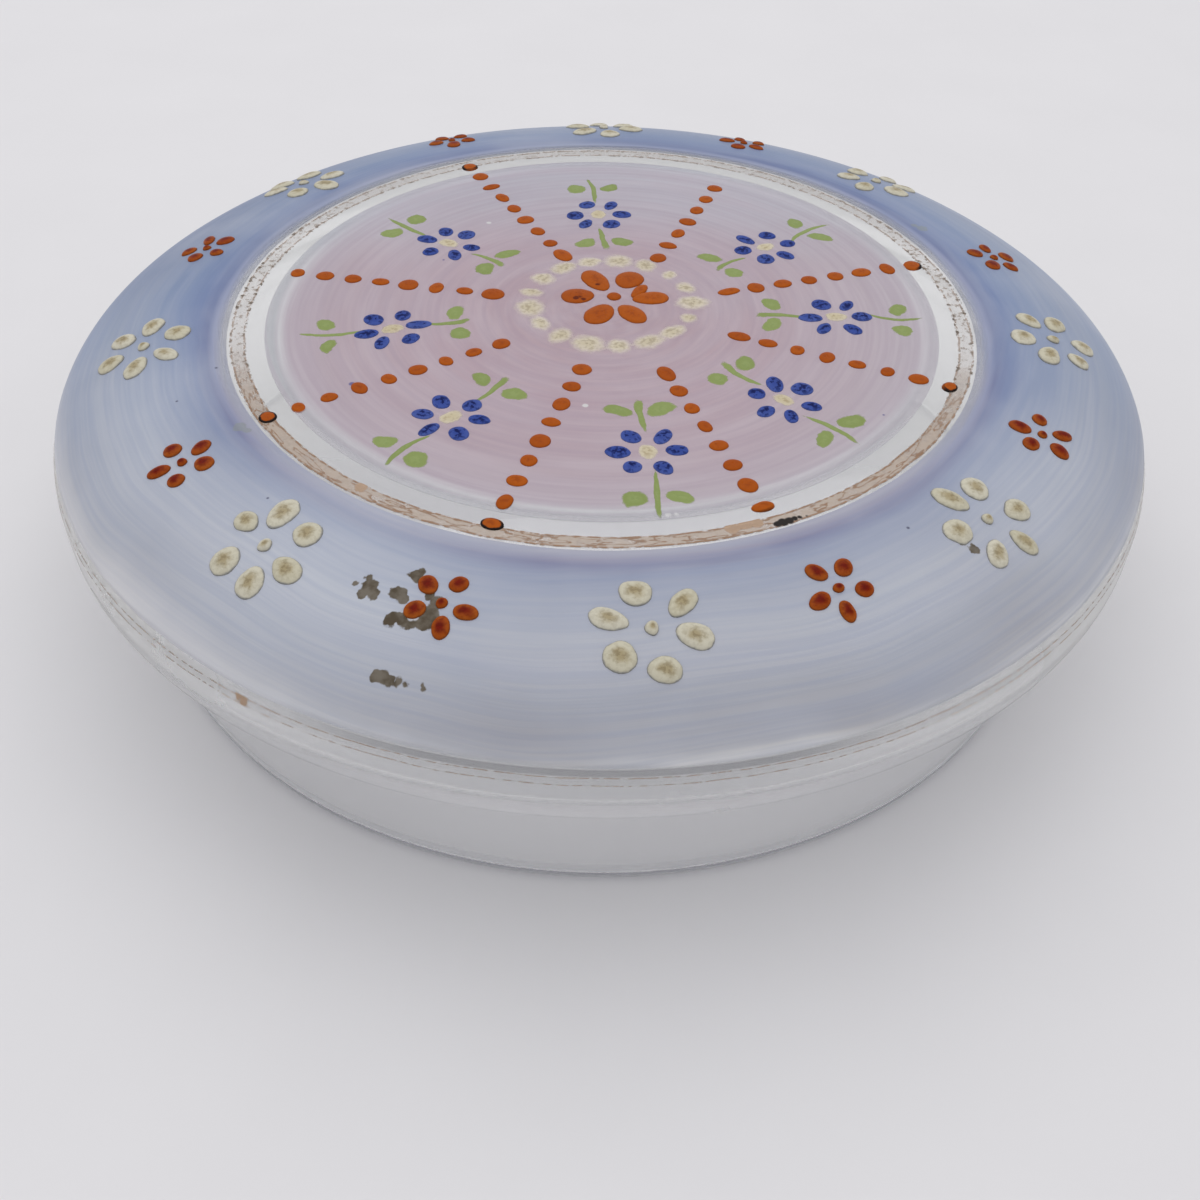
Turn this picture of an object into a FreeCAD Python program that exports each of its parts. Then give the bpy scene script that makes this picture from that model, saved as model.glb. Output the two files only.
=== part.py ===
import FreeCAD, Part
import math
import os
import Sketcher

# Blown glass lid of a round covered box, painted with enamel and gilding.
# It stands on the ground foot of its flange: origin at the centre of the foot, +Z up.

# Driving dimensions in millimetres.
SIZES = {
    # clear glass
    "lid_radius": 65.0,
    "lid_height": 33.4,
    "shoulder_width": 19.6,
    "shoulder_drop": 10.5,
    "shoulder_turn": 6.5,
    "rim_band": 1.7,
    "rim_round": 4.0,
    "rim_overhang": 7.2,
    "wall": 2.4,
    "flange_root": 1.2,
    "foot_round": 0.6,
    # fired coats and gilding
    "coat": 0.12,
    "coat_setback": 1.1,
    "coat_drop": 7.4,
    "gilding": 0.06,
    "ring_gilding_margin": 0.7,
    "ring_gilding_width": 1.9,
    "top_coat_margin": 2.1,
    "rim_gilding_gap": 0.8,
    "rim_gilding_width": 1.0,
    # radius of lilac coat that the pattern on the flat top is laid out for
    "pattern_radius": 39.6,
    # rays of dots, laid out from the painter's own centre
    "painted_centre_x": 1.8,
    "painted_centre_y": 0.2,
    "ray_start": 14.4,
    "dot_width": 1.9,
    "dot_height": 0.4,
    # blue posies between the rays
    "posy_ring": 3.1,
    "posy_petal_length": 2.5,
    "posy_petal_width": 1.9,
    "posy_petal_height": 0.45,
    "posy_eye_length": 2.4,
    "posy_eye_width": 1.7,
    "posy_eye_height": 0.3,
    "leaf_length": 3.0,
    "leaf_width": 1.8,
    "leaf_height": 0.25,
    "leaf_reach": 7.6,
    "leaf_spread": 2.3,
    "stem_start": 5.2,
    "stem_length": 5.6,
    "tail_length": 4.2,
    "stem_width": 0.7,
    # flower and wreath in the middle
    "centre_flower_x": 1.4,
    "centre_flower_y": 2.7,
    "centre_ring": 4.4,
    "centre_petal_length": 4.2,
    "centre_petal_width": 3.0,
    "centre_petal_height": 0.5,
    "centre_eye_width": 1.7,
    "wreath_x": 1.0,
    "wreath_y": 1.6,
    "wreath_radius": 9.8,
    "wreath_dot_width": 2.4,
    "wreath_dot_height": 0.35,
    # flowers round the shoulder
    "cream_setout": 8.0,
    "cream_ring": 4.0,
    "cream_petal_length": 3.5,
    "cream_petal_width": 2.8,
    "cream_petal_height": 0.6,
    "cream_eye_width": 1.4,
    "orange_setout": 7.2,
    "orange_ring": 2.5,
    "orange_petal_length": 2.3,
    "orange_petal_width": 1.8,
    "orange_petal_height": 0.5,
    "orange_eye_width": 1.1,
}

# Painted by eye: azimuth in degrees, number of dots, start of the ray beside the usual one.
RAYS = (
    (17, 8, -0.2),
    (67, 7, -1.2),
    (119, 9, -0.2),
    (170, 8, 0.9),
    (212, 9, 1.4),
    (253, 9, -0.4),
    (291, 8, 0.6),
    (337, 8, 0.9),
)
# Azimuth of each posy, its reach beside the usual one, and the turn of its petals.
POSIES = (
    (39, -1.9, 42),
    (96, -2.8, 26),
    (145, -0.2, 20),
    (192, 0.4, 6),
    (232, 2.7, -1),
    (276, 2.2, 26),
    (314, -0.4, 28),
    (357, -0.4, 3),
)
# Azimuth of each flower round the shoulder, and the turn of its petals.
CREAM_FLOWERS = ((44, 15), (90, 15), (141, 6), (189, 18), (233, 19), (275, 13), (316, 17), (356, 13))
ORANGE_FLOWERS = ((17, 16), (67, 30), (115, 20), (164, 8), (215, -17), (254, 14), (295, -6), (334, -31))
CENTRE_TURN = 2

POSY_PETALS = 6
CENTRE_PETALS = 6
CREAM_PETALS = 6
ORANGE_PETALS = 5
WREATH_DOTS = 17
# A full ray ends on the gilt ring, and the posies sit this far out on the lilac coat.
FULL_RAY = 9
POSY_SHARE = 2 / 3

# Unevenness of the hand: shares of a size, and degrees of turn.
HAND_SHARE = 0.12
HAND_TURN = 9.0
HAND_STEP = 2.4
FIRST_DOT_STRETCH = 1.35
# A drop on the shoulder is bedded this deep in the coat before the coat shapes it.
BED = "(0.75 * Sizes.coat)"
LEAF_TURN = 62.0
FULL_TURN = 360.0

doc = FreeCAD.newDocument("glass_lid")
sheet = doc.addObject("Spreadsheet::Sheet", "Sizes")
for row, (alias, value) in enumerate(SIZES.items(), start=1):
    sheet.set(f"A{row}", alias)
    sheet.set(f"B{row}", str(value))
    sheet.setAlias(f"B{row}", alias)
doc.recompute()


def value_of(expression):
    """Number that an expression on the sheet gives."""
    return float(sheet.evalExpression(expression))


def laid_out(name):
    """Expression of a size in the pattern; the flowers on the shoulder keep theirs."""
    if name.startswith(SHOULDER_KINDS):
        return f"Sizes.{name}"
    return f"(Sizes.{name} * {PATTERN})"


# Places on the lid's section, as expressions: x is the radius, z the height above the foot.
AXIS = "0"
FOOT = "0"
LID = "Sizes.lid_radius"
TOP = "Sizes.lid_height"
FLAT = "(Sizes.lid_radius - Sizes.shoulder_width)"
WIDEST = "(Sizes.lid_height - Sizes.shoulder_drop)"
RIM_LOW = f"({WIDEST} - Sizes.rim_band)"
SEAT = f"({RIM_LOW} - Sizes.rim_round)"
SEAT_EDGE = "(Sizes.lid_radius - Sizes.rim_round)"
FLANGE = "(Sizes.lid_radius - Sizes.rim_overhang)"
FLANGE_INNER = f"({FLANGE} - Sizes.wall)"
ROOT_X = f"({FLANGE} + Sizes.flange_root)"
ROOT_Z = f"({SEAT} - Sizes.flange_root)"

# The shoulder is a wide crown arc that runs into a tighter turn at the rim.
TURN = "Sizes.shoulder_turn"
TURN_X = "(Sizes.lid_radius - Sizes.shoulder_turn)"
CROWN = (
    "(((Sizes.shoulder_width - Sizes.shoulder_turn)^2 + Sizes.shoulder_drop^2"
    " - Sizes.shoulder_turn^2) / (2 * (Sizes.shoulder_drop - Sizes.shoulder_turn)))"
)
CROWN_Z = f"(Sizes.lid_height - {CROWN})"

# Rings on the flat top, from outside to inside.
COAT_INNER = f"({FLAT} - Sizes.coat_setback)"
RING_OUTER = f"({COAT_INNER} - Sizes.ring_gilding_margin)"
RING_INNER = f"({RING_OUTER} - Sizes.ring_gilding_width)"
TOP_COAT_RADIUS = f"({RING_INNER} - Sizes.top_coat_margin)"
# The pattern on the flat top grows and shrinks with the lilac coat.
PATTERN = f"({TOP_COAT_RADIUS} / Sizes.pattern_radius)"
RAY_START = f"(Sizes.ray_start * {PATTERN})"
RAY_PITCH = f"((({RING_OUTER} + {RING_INNER}) / 2 - {RAY_START}) / {FULL_RAY - 1})"
SHOULDER_KINDS = ("cream", "orange")
RIM_GILDING_DROP = "(Sizes.coat_drop + Sizes.rim_gilding_gap)"
RIM_GILDING_END = f"({RIM_GILDING_DROP} + Sizes.rim_gilding_width)"


def arc_join(offset):
    """Point where crown and turn meet, at an offset outwards from the glass."""
    share = f"(({CROWN} + {offset}) / ({CROWN} - {TURN}))"
    x = f"({FLAT} + ({TURN_X} - {FLAT}) * {share})"
    z = f"({CROWN_Z} + ({WIDEST} - {CROWN_Z}) * {share})"
    return x, z


def turn_point(depth, offset):
    """Point on the turn at a depth below the top, at an offset outwards from the glass."""
    rise = f"(Sizes.shoulder_drop - {depth})"
    share = f"(({TURN} + {offset}) / {TURN})"
    x = f"({TURN_X} + sqrt({TURN}^2 - {rise}^2) * {share})"
    z = f"({WIDEST} + {rise} * {share})"
    return x, z


def origin_plane(body, role):
    """Plane of the body's own origin."""
    return next(item for item in body.Origin.OriginFeatures if item.Role == role)


def bind(sketch, kind, edge, end, expression):
    """Dimension of one point from the sketch's origin, tied to the sheet."""
    number = sketch.addConstraint(Sketcher.Constraint(kind, edge, end, value_of(expression)))
    sketch.setExpression(f"Constraints[{number}]", expression)


def pin_corner(sketch, edge, end, x, z):
    """A corner on the axis or on the foot plane lies on it, and any other is dimensioned."""
    if x == AXIS:
        sketch.addConstraint(Sketcher.Constraint("PointOnObject", edge, end, -2))
    else:
        bind(sketch, "DistanceX", edge, end, x)
    if z == FOOT:
        sketch.addConstraint(Sketcher.Constraint("PointOnObject", edge, end, -1))
    else:
        bind(sketch, "DistanceY", edge, end, z)


def draw_edge(sketch, start, corner):
    """Line to a corner, or the arc about its centre; gives the edge and its two ends."""
    end = FreeCAD.Vector(value_of(corner[0]), value_of(corner[1]), 0)
    if len(corner) == 2:
        return sketch.addGeometry(Part.LineSegment(start, end)), 1, 2
    centre = FreeCAD.Vector(value_of(corner[2]), value_of(corner[3]), 0)
    first = math.atan2(start.y - centre.y, start.x - centre.x)
    last = math.atan2(end.y - centre.y, end.x - centre.x)
    sweep = math.remainder(last - first, 2 * math.pi)
    circle = Part.Circle(centre, FreeCAD.Vector(0, 0, 1), start.distanceToPoint(centre))
    chord = end - start
    if sweep > 0:
        edge = sketch.addGeometry(Part.ArcOfCircle(circle, first, first + sweep))
        ends = (1, 2)
    else:
        edge = sketch.addGeometry(Part.ArcOfCircle(circle, first + sweep, first))
        ends = (2, 1)
    if abs(chord.x) > abs(chord.y):
        bind(sketch, "DistanceY", edge, 3, corner[3])
    else:
        bind(sketch, "DistanceX", edge, 3, corner[2])
    return edge, *ends


def turned(label, corners):
    """Solid of revolution about Z; a corner with a centre is reached by an arc."""
    body = doc.addObject("PartDesign::Body", label)
    sketch = body.newObject("Sketcher::SketchObject", f"{label}_section")
    sketch.AttachmentSupport = (origin_plane(body, "XZ_Plane"), [""])
    sketch.MapMode = "FlatFace"
    start = FreeCAD.Vector(value_of(corners[-1][0]), value_of(corners[-1][1]), 0)
    edges = []
    for corner in corners:
        edges.append(draw_edge(sketch, start, corner))
        start = FreeCAD.Vector(value_of(corner[0]), value_of(corner[1]), 0)
    for index, corner in enumerate(corners):
        edge, _, end = edges[index]
        following, begin, _ = edges[(index + 1) % len(edges)]
        sketch.addConstraint(Sketcher.Constraint("Coincident", edge, end, following, begin))
        pin_corner(sketch, edge, end, corner[0], corner[1])
    turn = body.newObject("PartDesign::Revolution", f"{label}_turned")
    turn.Profile = sketch
    turn.ReferenceAxis = (sketch, ["V_Axis"])
    turn.Angle = FULL_TURN
    sketch.Visibility = False
    body.Tip = turn
    return body


# Clear glass: one blown wall, from the flat top over the shoulder and rim into the flange.
lid_glass = turned("lid_glass", [
    (AXIS, TOP),
    (FLAT, TOP),
    (*arc_join("0"), FLAT, CROWN_Z),
    (LID, WIDEST, TURN_X, WIDEST),
    (LID, RIM_LOW),
    (SEAT_EDGE, SEAT, SEAT_EDGE, RIM_LOW),
    (ROOT_X, SEAT),
    (FLANGE, ROOT_Z, ROOT_X, ROOT_Z),
    (FLANGE, "Sizes.foot_round"),
    (f"({FLANGE} - Sizes.foot_round)", FOOT, f"({FLANGE} - Sizes.foot_round)", "Sizes.foot_round"),
    (f"({FLANGE_INNER} + Sizes.foot_round)", FOOT),
    (FLANGE_INNER, "Sizes.foot_round", f"({FLANGE_INNER} + Sizes.foot_round)", "Sizes.foot_round"),
    (FLANGE_INNER, ROOT_Z),
    (ROOT_X, f"({SEAT} + Sizes.wall)", ROOT_X, ROOT_Z),
    (SEAT_EDGE, f"({SEAT} + Sizes.wall)"),
    ("(Sizes.lid_radius - Sizes.wall)", RIM_LOW, SEAT_EDGE, RIM_LOW),
    ("(Sizes.lid_radius - Sizes.wall)", WIDEST),
    (*arc_join("-Sizes.wall"), TURN_X, WIDEST),
    (FLAT, "(Sizes.lid_height - Sizes.wall)", FLAT, CROWN_Z),
    (AXIS, "(Sizes.lid_height - Sizes.wall)"),
])

# Blue coat: a thin shell from the edge of the flat top down to just above the rim.
shoulder_coat = turned("shoulder_coat", [
    (COAT_INNER, TOP),
    (COAT_INNER, "(Sizes.lid_height + Sizes.coat)"),
    (FLAT, "(Sizes.lid_height + Sizes.coat)"),
    (*arc_join("Sizes.coat"), FLAT, CROWN_Z),
    (*turn_point("Sizes.coat_drop", "Sizes.coat"), TURN_X, WIDEST),
    turn_point("Sizes.coat_drop", "0"),
    (*arc_join("0"), TURN_X, WIDEST),
    (FLAT, TOP, FLAT, CROWN_Z),
])

# Gilt line round the rim, below the edge of the blue coat.
rim_gilding = turned("rim_gilding", [
    (*turn_point(RIM_GILDING_DROP, "0"), TURN_X, WIDEST),
    turn_point(RIM_GILDING_DROP, "Sizes.gilding"),
    (*turn_point(RIM_GILDING_END, "Sizes.gilding"), TURN_X, WIDEST),
    turn_point(RIM_GILDING_END, "0"),
])

# Gilt ring on the flat top.
ring_gilding = turned("ring_gilding", [
    (RING_INNER, TOP),
    (RING_OUTER, TOP),
    (RING_OUTER, "(Sizes.lid_height + Sizes.gilding)"),
    (RING_INNER, "(Sizes.lid_height + Sizes.gilding)"),
])

# Lilac coat: a thin disc on the flat top, inside the gilt ring.
top_coat = doc.addObject("Part::Cylinder", "top_coat")
top_coat.setExpression("Radius", TOP_COAT_RADIUS)
top_coat.setExpression("Height", "Sizes.coat")
top_coat.setExpression("Placement.Base.z", TOP)

# Thin finishes on the flat top, which shape the underside of a drop that crosses their edges.
top_finish = doc.addObject("Part::Compound", "top_finish")
top_finish.Links = [top_coat, ring_gilding]


def hand(seed):
    """Steady unevenness between -1 and 1, as a brush held by hand leaves it."""
    return math.sin(seed * HAND_STEP)


def uneven(expression, seed):
    """A size with the hand's small change."""
    return f"{expression} * {1 + HAND_SHARE * hand(seed):.3f}"


def on_top(x, y, half_length):
    """Height that a drop on the flat top starts from, and the finish whose edge it crosses."""
    inner = math.hypot(x, y) - half_length
    outer = math.hypot(x, y) + half_length
    if outer < value_of(TOP_COAT_RADIUS):
        return value_of(f"{TOP} + Sizes.coat"), None
    if inner > value_of(TOP_COAT_RADIUS) and outer < value_of(RING_INNER):
        return value_of(TOP), None
    if inner > value_of(RING_INNER) and outer < value_of(RING_OUTER):
        return value_of(f"{TOP} + Sizes.gilding"), None
    return value_of(TOP), top_finish


def on_shoulder(x, y):
    """Point on the blue coat's crown, sunk by the bed, and the slope of the crown there."""
    crown = value_of(f"{CROWN} + Sizes.coat")
    slope = math.asin((math.hypot(x, y) - value_of(FLAT)) / crown)
    azimuth = math.atan2(y, x)
    normal = FreeCAD.Vector(
        math.sin(slope) * math.cos(azimuth),
        math.sin(slope) * math.sin(azimuth),
        math.cos(slope),
    )
    surface = FreeCAD.Vector(x, y, value_of(CROWN_Z) + crown * math.cos(slope))
    return surface - normal * value_of(BED), math.degrees(slope)


def drop(label, x, y, heading, length, width, height):
    """One domed drop of enamel, long along its heading and flat or fitted underneath."""
    slope = 0.0
    bed = "0"
    if math.hypot(x, y) < value_of(FLAT):
        base_height, under = on_top(x, y, value_of(f"({length}) / 2"))
        base = FreeCAD.Vector(x, y, base_height)
        if under is not None:
            bed = "Sizes.coat"
    else:
        base, slope = on_shoulder(x, y)
        under = shoulder_coat
        bed = BED
    bead = doc.addObject("Part::Ellipsoid", label)
    bead.setExpression("Radius1", f"{height} + {bed}")
    bead.setExpression("Radius2", f"({length}) / 2")
    bead.setExpression("Radius3", f"({width}) / 2")
    bead.Angle1 = 0
    azimuth = math.degrees(math.atan2(y, x))
    spin = FreeCAD.Rotation(FreeCAD.Vector(0, 0, 1), azimuth)
    lean = FreeCAD.Rotation(FreeCAD.Vector(0, 1, 0), slope)
    twist = FreeCAD.Rotation(FreeCAD.Vector(0, 0, 1), heading - azimuth)
    bead.Placement = FreeCAD.Placement(base, spin * lean * twist)
    if under is None:
        return bead
    fitted = doc.addObject("Part::Cut", f"{label}_fitted")
    fitted.Base = bead
    fitted.Tool = under
    return fitted


def enamel(label, beads):
    """A motif: its drops together, each a solid of its own."""
    group = doc.addObject("Part::Compound", label)
    group.Links = beads
    return group


class Spot:
    """A motif's own place: its centre, and the direction outwards from the painter's centre."""

    def __init__(self, x, y, azimuth):
        self.x = x
        self.y = y
        self.azimuth = azimuth

    def at(self, along, aside, turn):
        """Point outwards and to the left of the motif's centre, and the heading of a drop there."""
        angle = math.radians(self.azimuth)
        x = self.x + along * math.cos(angle) - aside * math.sin(angle)
        y = self.y + along * math.sin(angle) + aside * math.cos(angle)
        return x, y, self.azimuth + turn


def from_painted_centre(azimuth, reach):
    """Spot on the flat top at a reach from the painter's centre."""
    angle = math.radians(azimuth)
    x = value_of(laid_out("painted_centre_x")) + reach * math.cos(angle)
    y = value_of(laid_out("painted_centre_y")) + reach * math.sin(angle)
    return Spot(x, y, azimuth)


def from_flat_edge(azimuth, kind):
    """Spot of a flower on the shoulder."""
    reach = value_of(f"{FLAT} + Sizes.{kind}_setout")
    angle = math.radians(azimuth)
    return Spot(reach * math.cos(angle), reach * math.sin(angle), azimuth)


def petals(label, spot, count, kind, first_turn):
    """Ring of long drops about a spot; the sizes carry the kind's name."""
    beads = []
    ring = value_of(laid_out(f"{kind}_ring"))
    for index in range(count):
        seed = index + first_turn
        angle = first_turn + index * FULL_TURN / count + HAND_TURN / 2 * hand(seed)
        place = spot.at(
            ring * math.cos(math.radians(angle)),
            ring * math.sin(math.radians(angle)),
            angle + HAND_TURN * hand(seed + 1),
        )
        beads.append(drop(
            f"{label}_petal_{index + 1}",
            *place,
            uneven(laid_out(f"{kind}_petal_length"), seed + 2),
            uneven(laid_out(f"{kind}_petal_width"), seed + 3),
            f"Sizes.{kind}_petal_height",
        ))
    return beads


def eye(label, spot, kind):
    """Small round drop in the middle of a flower."""
    width = laid_out(f"{kind}_eye_width")
    return drop(f"{label}_eye", *spot.at(0, 0, 0), width, width, f"Sizes.{kind}_petal_height")


def ray(label, azimuth, dots, start):
    """Line of dots from the wreath outwards; the first dot is drawn out along the ray."""
    beads = []
    for index in range(dots):
        reach = value_of(f"{RAY_START} + {start} * {PATTERN} + {index} * {RAY_PITCH}")
        seed = azimuth + index
        stretch = FIRST_DOT_STRETCH if index == 0 else 1.0
        beads.append(drop(
            f"{label}_dot_{index + 1}",
            *from_painted_centre(azimuth, reach).at(0, 0, 0),
            uneven(f"{laid_out('dot_width')} * {stretch}", seed),
            uneven(laid_out("dot_width"), seed + 1),
            "Sizes.dot_height",
        ))
    return enamel(label, beads)


def leaves(label, spot):
    """Green leaves: a stem outwards and a tail inwards, each with a leaf on both sides."""
    beads = []
    leaf_reach = value_of(laid_out("leaf_reach"))
    leaf_spread = value_of(laid_out("leaf_spread"))
    for name, side, length in (("stem", 1, "stem_length"), ("tail", -1, "tail_length")):
        middle = value_of(f"{laid_out('stem_start')} + {laid_out(length)} / 2")
        beads.append(drop(
            f"{label}_{name}",
            *spot.at(side * middle, 0, HAND_TURN / 2 * hand(spot.azimuth + side)),
            laid_out(length),
            laid_out("stem_width"),
            "Sizes.leaf_height",
        ))
        for hand_side, flank in (("left", 1), ("right", -1)):
            seed = spot.azimuth + 2 * side + flank
            beads.append(drop(
                f"{label}_{name}_{hand_side}",
                *spot.at(side * leaf_reach, flank * leaf_spread, side * flank * LEAF_TURN),
                uneven(laid_out("leaf_length"), seed),
                uneven(laid_out("leaf_width"), seed + 1),
                "Sizes.leaf_height",
            ))
    return enamel(label, beads)


def wreath(label):
    """Ring of uneven cream dots round the middle flower."""
    beads = []
    x = value_of(laid_out("wreath_x"))
    y = value_of(laid_out("wreath_y"))
    reach = value_of(laid_out("wreath_radius"))
    for index in range(WREATH_DOTS):
        spot = Spot(x, y, index * FULL_TURN / WREATH_DOTS)
        beads.append(drop(
            f"{label}_dot_{index + 1}",
            *spot.at(reach, 0, HAND_TURN * hand(index)),
            uneven(laid_out("wreath_dot_width"), index + 1),
            uneven(laid_out("wreath_dot_width"), index + 2),
            "Sizes.wreath_dot_height",
        ))
    return enamel(label, beads)


sub_parts = [lid_glass, shoulder_coat, top_coat, ring_gilding, rim_gilding]

middle = Spot(value_of(laid_out("centre_flower_x")), value_of(laid_out("centre_flower_y")), 0)
centre_beads = petals("centre_flower", middle, CENTRE_PETALS, "centre", CENTRE_TURN)
centre_beads.append(eye("centre_flower", middle, "centre"))
sub_parts.append(enamel("centre_flower", centre_beads))
sub_parts.append(wreath("centre_wreath"))

for number, (azimuth, dots, start) in enumerate(RAYS, start=1):
    sub_parts.append(ray(f"ray_{number}", azimuth, dots, start))

for number, (azimuth, further, turn) in enumerate(POSIES, start=1):
    reach = value_of(f"{TOP_COAT_RADIUS} * {POSY_SHARE} + {further} * {PATTERN}")
    spot = from_painted_centre(azimuth, reach)
    name = f"posy_petals_{number}"
    sub_parts.append(enamel(name, petals(name, spot, POSY_PETALS, "posy", turn)))
    name = f"posy_eye_{number}"
    pip = drop(
        f"{name}_pip",
        *spot.at(0, 0, HAND_TURN * hand(azimuth)),
        laid_out("posy_eye_length"),
        laid_out("posy_eye_width"),
        "Sizes.posy_eye_height",
    )
    sub_parts.append(enamel(name, [pip]))
    sub_parts.append(leaves(f"posy_leaves_{number}", spot))

for kind, count, flowers in (
    ("cream", CREAM_PETALS, CREAM_FLOWERS),
    ("orange", ORANGE_PETALS, ORANGE_FLOWERS),
):
    for number, (azimuth, turn) in enumerate(flowers, start=1):
        name = f"{kind}_flower_{number}"
        spot = from_flat_edge(azimuth, kind)
        beads = petals(name, spot, count, kind, turn)
        beads.append(eye(name, spot, kind))
        sub_parts.append(enamel(name, beads))

doc.recompute()

failed = [item.Name for item in doc.Objects if {"Invalid", "Error"} & set(item.State)]
failed += [item.Label for item in sub_parts if item.Shape.isNull() or not item.Shape.isValid()]
if failed:
    raise RuntimeError(f"failed objects: {failed}")

os.makedirs("parts", exist_ok=True)
for item in sub_parts:
    item.Shape.exportStep(f"parts/{item.Label}.step")
    print(f"{item.Label}: {len(item.Shape.Solids)} solids, {item.Shape.Volume:.2f} mm3")
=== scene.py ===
# %% [markdown]
# # A painted glass lid
# This lesson dresses the lid of a round covered box: clear blown glass, two brushed stains fired onto it, worn
# gilding, and flowers laid on as raised drops of enamel. The solid model comes in first as a fixed frame, and every
# piece made here sits on it in metres.

# %% The frame
import math

import bmesh
import bpy
import numpy as np
from mathutils import Matrix, Vector


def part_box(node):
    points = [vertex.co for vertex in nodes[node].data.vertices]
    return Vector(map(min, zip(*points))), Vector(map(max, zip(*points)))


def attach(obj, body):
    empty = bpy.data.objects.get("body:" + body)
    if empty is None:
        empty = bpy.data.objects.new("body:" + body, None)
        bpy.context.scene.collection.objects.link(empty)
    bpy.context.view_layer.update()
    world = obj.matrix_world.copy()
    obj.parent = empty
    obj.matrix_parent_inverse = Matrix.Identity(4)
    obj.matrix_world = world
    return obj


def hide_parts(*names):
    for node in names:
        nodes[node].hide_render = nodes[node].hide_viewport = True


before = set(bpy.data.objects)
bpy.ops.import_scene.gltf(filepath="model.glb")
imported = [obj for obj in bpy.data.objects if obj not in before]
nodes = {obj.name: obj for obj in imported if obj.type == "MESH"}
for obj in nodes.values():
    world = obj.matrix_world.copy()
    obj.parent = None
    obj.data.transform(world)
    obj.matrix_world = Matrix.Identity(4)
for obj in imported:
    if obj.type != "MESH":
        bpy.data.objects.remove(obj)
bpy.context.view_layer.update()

glass_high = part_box("lid_glass")[1]
print("frame:", len(nodes), "nodes, lid", round(glass_high.x * 2000, 1), "mm across")

# %% [markdown]
# ## Nodes in one line
# Colours are picked from the real lid as plain screen values, so one helper turns them into the linear values that
# shaders use. Another adds one node to a tree and either links or sets its inputs, which keeps every tree below short
# enough to read. Nodes could be placed by hand in the editor, but a script shows each value beside its use.

# %% Nodes
MM = 0.001


def tint(red, green, blue):
    """Screen colour, 0 to 255, as the linear colour of a shader socket."""
    linear = [((c / 255 + 0.055) / 1.055) ** 2.4 if c > 10 else c / 255 / 12.92 for c in (red, green, blue)]
    return (*linear, 1.0)


def put(tree, kind, inputs=None, **settings):
    """Adds a node; an input given as a socket is linked, and any other value is set."""
    made = tree.nodes.new(kind)
    for name, value in settings.items():
        setattr(made, name, value)
    for key, value in (inputs or {}).items():
        if isinstance(value, bpy.types.NodeSocket):
            tree.links.new(value, made.inputs[key])
        else:
            made.inputs[key].default_value = value
    return made


def calc(tree, operation, *values):
    """Result of one Math node, or of a row of them where there are more than two values."""
    made = put(tree, "ShaderNodeMath", dict(enumerate(values[:2])), operation=operation).outputs[0]
    return calc(tree, operation, made, *values[2:]) if values[2:] else made


def vector(tree, operation, *values):
    """Result of one Vector Math node."""
    return put(tree, "ShaderNodeVectorMath", dict(enumerate(values)), operation=operation).outputs[0]


def scaled(tree, value, factor):
    """A vector made longer or shorter."""
    return put(tree, "ShaderNodeVectorMath", {0: value, "Scale": factor}, operation="SCALE").outputs[0]


def split(tree, place):
    """The three coordinates of a place."""
    return put(tree, "ShaderNodeSeparateXYZ", {0: place}).outputs


def joined(tree, **sides):
    """A place from its coordinates; one that isn't given is 0."""
    return put(tree, "ShaderNodeCombineXYZ", sides).outputs[0]


def between(tree, value, low, high, start=0.0, end=1.0):
    """Smooth change from start to end while the value goes from low to high."""
    names = {"Value": value, "From Min": low, "From Max": high, "To Min": start, "To Max": end}
    return put(tree, "ShaderNodeMapRange", names, interpolation_type="SMOOTHSTEP").outputs[0]


def portion(tree, value, low, high):
    """Straight share of the way from low to high."""
    return put(tree, "ShaderNodeMapRange", {"Value": value, "From Min": low, "From Max": high}).outputs[0]


def mixed(tree, share, first, second):
    """Mix of two colours."""
    return put(tree, "ShaderNodeMix", {0: share, 6: first, 7: second}, data_type="RGBA").outputs[2]


def blend(tree, share, first, second):
    """Mix of two shaders."""
    return put(tree, "ShaderNodeMixShader", {0: share, 1: first, 2: second}).outputs[0]


def grain(tree, place, scale, detail):
    """Noise between 0 and 1 at a place."""
    return put(tree, "ShaderNodeTexNoise", {"Vector": place, "Scale": scale, "Detail": detail}).outputs["Fac"]


def uneven(tree, place, scale, detail, amount):
    """Noise from minus to plus half of an amount."""
    return calc(tree, "MULTIPLY", calc(tree, "SUBTRACT", grain(tree, place, scale, detail), 0.5), amount)


def ramp(tree, value, stops):
    """Colours along a value, as (position, colour) stops."""
    made = put(tree, "ShaderNodeValToRGB", {"Fac": value})
    band = made.color_ramp
    for index, (position, colour) in enumerate(stops):
        stop = band.elements[index] if index < 2 else band.elements.new(position)
        stop.position = position
        stop.color = colour
    return made.outputs["Color"]


def from_axis(tree, place):
    """Distance from the lid's axis."""
    parts = split(tree, place)
    squares = calc(tree, "ADD", calc(tree, "POWER", parts["X"], 2.0), calc(tree, "POWER", parts["Y"], 2.0))
    return calc(tree, "SQRT", squares)


print("helpers ready for", sum(1 for slot in nodes.values() if slot.type == "MESH"), "nodes")

# %% [markdown]
# ## Groups and materials
# Trees that work for several pieces are groups with named inputs and outputs. Each material starts from an empty tree
# and reads Object coordinates: the pieces sit at the origin, so these are places on the lid in metres. Light for the
# inside has to pass the glass and its coats, and a mask for shadow and diffuse rays tells where that is asked for.

# %% Groups and materials


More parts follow.
